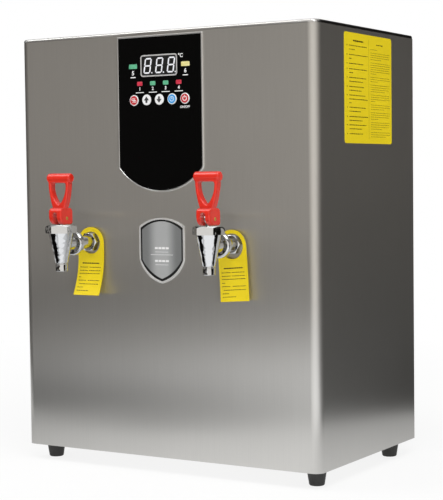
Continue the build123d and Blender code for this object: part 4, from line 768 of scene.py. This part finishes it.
yellow_brass, tree, shader, place = surface("turned brass", "#c9a24c", Metallic=1.0, Roughness=0.28)
tarnish = add(tree, "ShaderNodeTexNoise", {
    "Vector": place, "Scale": 160.0, "Detail": 3.0})  # 6.3 mm
tone = add(tree, "ShaderNodeMix", {
    0: tarnish.outputs[0], 6: linear("#b58f40"), 7: linear("#d8b35c")}, data_type="RGBA")
tree.links.new(tone.outputs[2], shader.inputs["Base Color"])

silicone, tree, shader, place = surface("white silicone rubber", "#d6d5cf", Roughness=0.55)
bloom = add(tree, "ShaderNodeTexNoise", {"Vector": place, "Scale": 300.0, "Detail": 2.0})  # 3.3 mm
relief = add(tree, "ShaderNodeBump", {
    "Height": bloom.outputs[0], "Strength": 0.1, "Distance": 0.0002})
tree.links.new(relief.outputs[0], shader.inputs["Normal"])

# Lever: glass-filled nylon moulded in red, glossy with a faint orange peel.
red_nylon, tree, shader, place = surface(
    "moulded red nylon", "#dc2614", Roughness=0.24, Specular_IOR_Level=0.35, Coat_Weight=0.3)
shader.inputs["Coat Roughness"].default_value = 0.06
peel = add(tree, "ShaderNodeTexNoise", {"Vector": place, "Scale": 260.0, "Detail": 2.0})  # 3.8 mm
relief = add(tree, "ShaderNodeBump", {
    "Height": peel.outputs[0], "Strength": 0.14, "Distance": 0.0004})
tree.links.new(relief.outputs[0], shader.inputs["Normal"])
flow = add(tree, "ShaderNodeTexNoise", {"Vector": place, "Scale": 45.0, "Detail": 2.0})  # 22 mm
tone = add(tree, "ShaderNodeMix", {
    0: flow.outputs[0], 6: linear("#d62412"), 7: linear("#e62e1b")}, data_type="RGBA")
tree.links.new(tone.outputs[2], shader.inputs["Base Color"])

# Tag: a strip punched from yellow polypropylene sheet, satin, bearing plain ruled lines.
poly_sheet, tree, shader, place = surface(
    "yellow polypropylene sheet", "#ebd108", Roughness=0.42, Specular_IOR_Level=0.35)
haze = add(tree, "ShaderNodeTexNoise", {"Vector": place, "Scale": 40.0, "Detail": 3.0})  # 25 mm
tone = add(tree, "ShaderNodeMix", {
    0: haze.outputs[0], 6: linear("#e6cb05"), 7: linear("#f0d70e")}, data_type="RGBA")
tree.links.new(tone.outputs[2], shader.inputs["Base Color"])
fine = add(tree, "ShaderNodeTexNoise", {"Vector": place, "Scale": 900.0})  # 1.1 mm
relief = add(tree, "ShaderNodeBump", {
    "Height": fine.outputs[0], "Strength": 0.08, "Distance": 0.0001})
tree.links.new(relief.outputs[0], shader.inputs["Normal"])

# What stands close to satin steel shows in it as no more than a haze, so levers, bodies and nuts
# are kept out of mirror rays. Each tag hangs by its drop below the middle of its wall nut and bears
# dashes, by millimetres down and across from there: a bold line, then eight fine ones.
tag_lines = (
    (27.0, 1.5, ((-13.5, 13.5),)), (32.3, 0.8, ((-17, -4.5), (-2, 16.5))),
    (36.6, 0.8, ((-17, -4.5), (-2, 16))), (40.5, 0.8, ((-17, 16.5),)), (45.1, 0.8, ((-17, -13),)),
    (49.4, 0.8, ((-17, -5), (-2, 16.5))), (53.9, 0.8, ((-15, 16.5),)), (58.2, 0.8, ((-17, -8),)),
    (62.4, 0.8, ((-17, 2),)))
for side, lean, drop in (("left", 0.0, 0.0012), ("right", radians(4), 0.0026)):
    dress(chrome, f"tap_{side}_body", f"tap_{side}_bonnet_nut", f"tap_{side}_wall_nut")
    dress(stem_steel, f"tap_{side}_stem", f"tap_{side}_spring")
    dress(yellow_brass, f"tap_{side}_lever_pin", f"tap_{side}_lock_nuts")
    dress(silicone, f"tap_{side}_seat_cup", f"tap_{side}_washers")
    dress(red_nylon, f"tap_{side}_lever")
    dress(poly_sheet, f"tap_{side}_tag")
    for part in ("lever", "body", "bonnet_nut", "wall_nut"):
        nodes[f"tap_{side}_{part}"].visible_glossy = False

    # The spring: a copy of its mesh, baked in place, stands in for it, and the CAD spring is
    # hidden.
    spring = nodes[f"tap_{side}_spring"]
    coil = bpy.data.objects.new(f"tap_{side}_coil", spring.data.copy())
    bpy.context.scene.collection.objects.link(coil)
    foot, head = (Vector(corner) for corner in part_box(spring.name))
    head.x, head.y = foot.x, foot.y
    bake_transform(coil)
    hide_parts(spring.name)

    across, downward = Vector((cos(lean), 0, sin(lean))), Vector((sin(lean), 0, -cos(lean)))
    low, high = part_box(f"tap_{side}_wall_nut")
    hang = (low + high) / 2 + downward * drop
    hang.y = -0.158  # 50 mm in front of the sheet
    tag_dashes = []
    for below, tall, stretches in tag_lines:
        for start, end in stretches:
            tag_dashes += [
                (hang + across * place / 1000 + downward * below / 1000, length / 1000, tall / 1000)
                for place, length in dashed(start, end, mean=2.4, gap=0.5)]
    tag = f"tap_{side}_tag"
    rule(f"{tag}_rules", tag_dashes, nodes[tag], (pi / 2, -lean, 0), (0, 1, 0), olive_ink, tag)

# ------------------------------------------------------------------ tank and fittings
# Tank, lid and pipes: pickled stainless sheet and tube, welded and left duller than the casing.
# Foam is wrapped round the tank, and its fittings are screwed in.
pickled, tree, shader, place = surface(
    "pickled stainless steel", "#aaa9a6", Metallic=1.0, Roughness=0.45)
stain = add(tree, "ShaderNodeTexNoise", {"Vector": place, "Scale": 18.0, "Detail": 4.0})  # 56 mm
tone = add(tree, "ShaderNodeMix", {
    0: stain.outputs[0], 6: linear("#9c9b98"), 7: linear("#b9b8b5")}, data_type="RGBA")
tree.links.new(tone.outputs[2], shader.inputs["Base Color"])
dress(pickled, "tank_shell", "tank_lid", "inlet_pipe", "overflow_pipe", "drain_pipe")

# Insulation: closed-cell foam sheet.
foam, tree, shader, place = surface("closed-cell foam", "#d9d4c2", Roughness=0.9)
cells = add(tree, "ShaderNodeTexVoronoi", {"Vector": place, "Scale": 450.0})  # 2.2 mm
relief = add(tree, "ShaderNodeBump", {
    "Height": cells.outputs["Distance"], "Strength": 0.5, "Distance": 0.0005})
tree.links.new(relief.outputs[0], shader.inputs["Normal"])
dress(foam, "tank_insulation")

# Heater: nickel-alloy elements, darkened by heat.
blued, tree, shader, place = surface(
    "heat-darkened nickel alloy", "#6f6a64", Metallic=1.0, Roughness=0.4)
bloom = add(tree, "ShaderNodeTexNoise", {"Vector": place, "Scale": 30.0, "Detail": 3.0})  # 33 mm
tone = add(tree, "ShaderNodeMix", {
    0: bloom.outputs[0], 6: linear("#5d5850"), 7: linear("#827e7a")}, data_type="RGBA")
tree.links.new(tone.outputs[2], shader.inputs["Base Color"])
dress(blued, "heater")
dress(yellow_brass, "temperature_sensor", "drain_cap")

# Valve, probes' plug and terminals: natural nylon.
nylon, tree, shader, place = surface("natural nylon", "#dcdad0", Roughness=0.48)
skin = add(tree, "ShaderNodeTexNoise", {"Vector": place, "Scale": 700.0, "Detail": 2.0})  # 1.4 mm
relief = add(tree, "ShaderNodeBump", {
    "Height": skin.outputs[0], "Strength": 0.15, "Distance": 0.0002})
tree.links.new(relief.outputs[0], shader.inputs["Normal"])
dress(nylon, "inlet_valve", "level_probes", "terminal_block")

# Gland and overheat cut-out: black nylon and phenolic.
black_nylon, tree, shader, place = surface("black nylon", "#1b1b1c", Roughness=0.5)
skin = add(tree, "ShaderNodeTexNoise", {"Vector": place, "Scale": 700.0, "Detail": 2.0})  # 1.4 mm
relief = add(tree, "ShaderNodeBump", {
    "Height": skin.outputs[0], "Strength": 0.2, "Distance": 0.0002})
tree.links.new(relief.outputs[0], shader.inputs["Normal"])
dress(black_nylon, "cable_gland", "overheat_cutout")
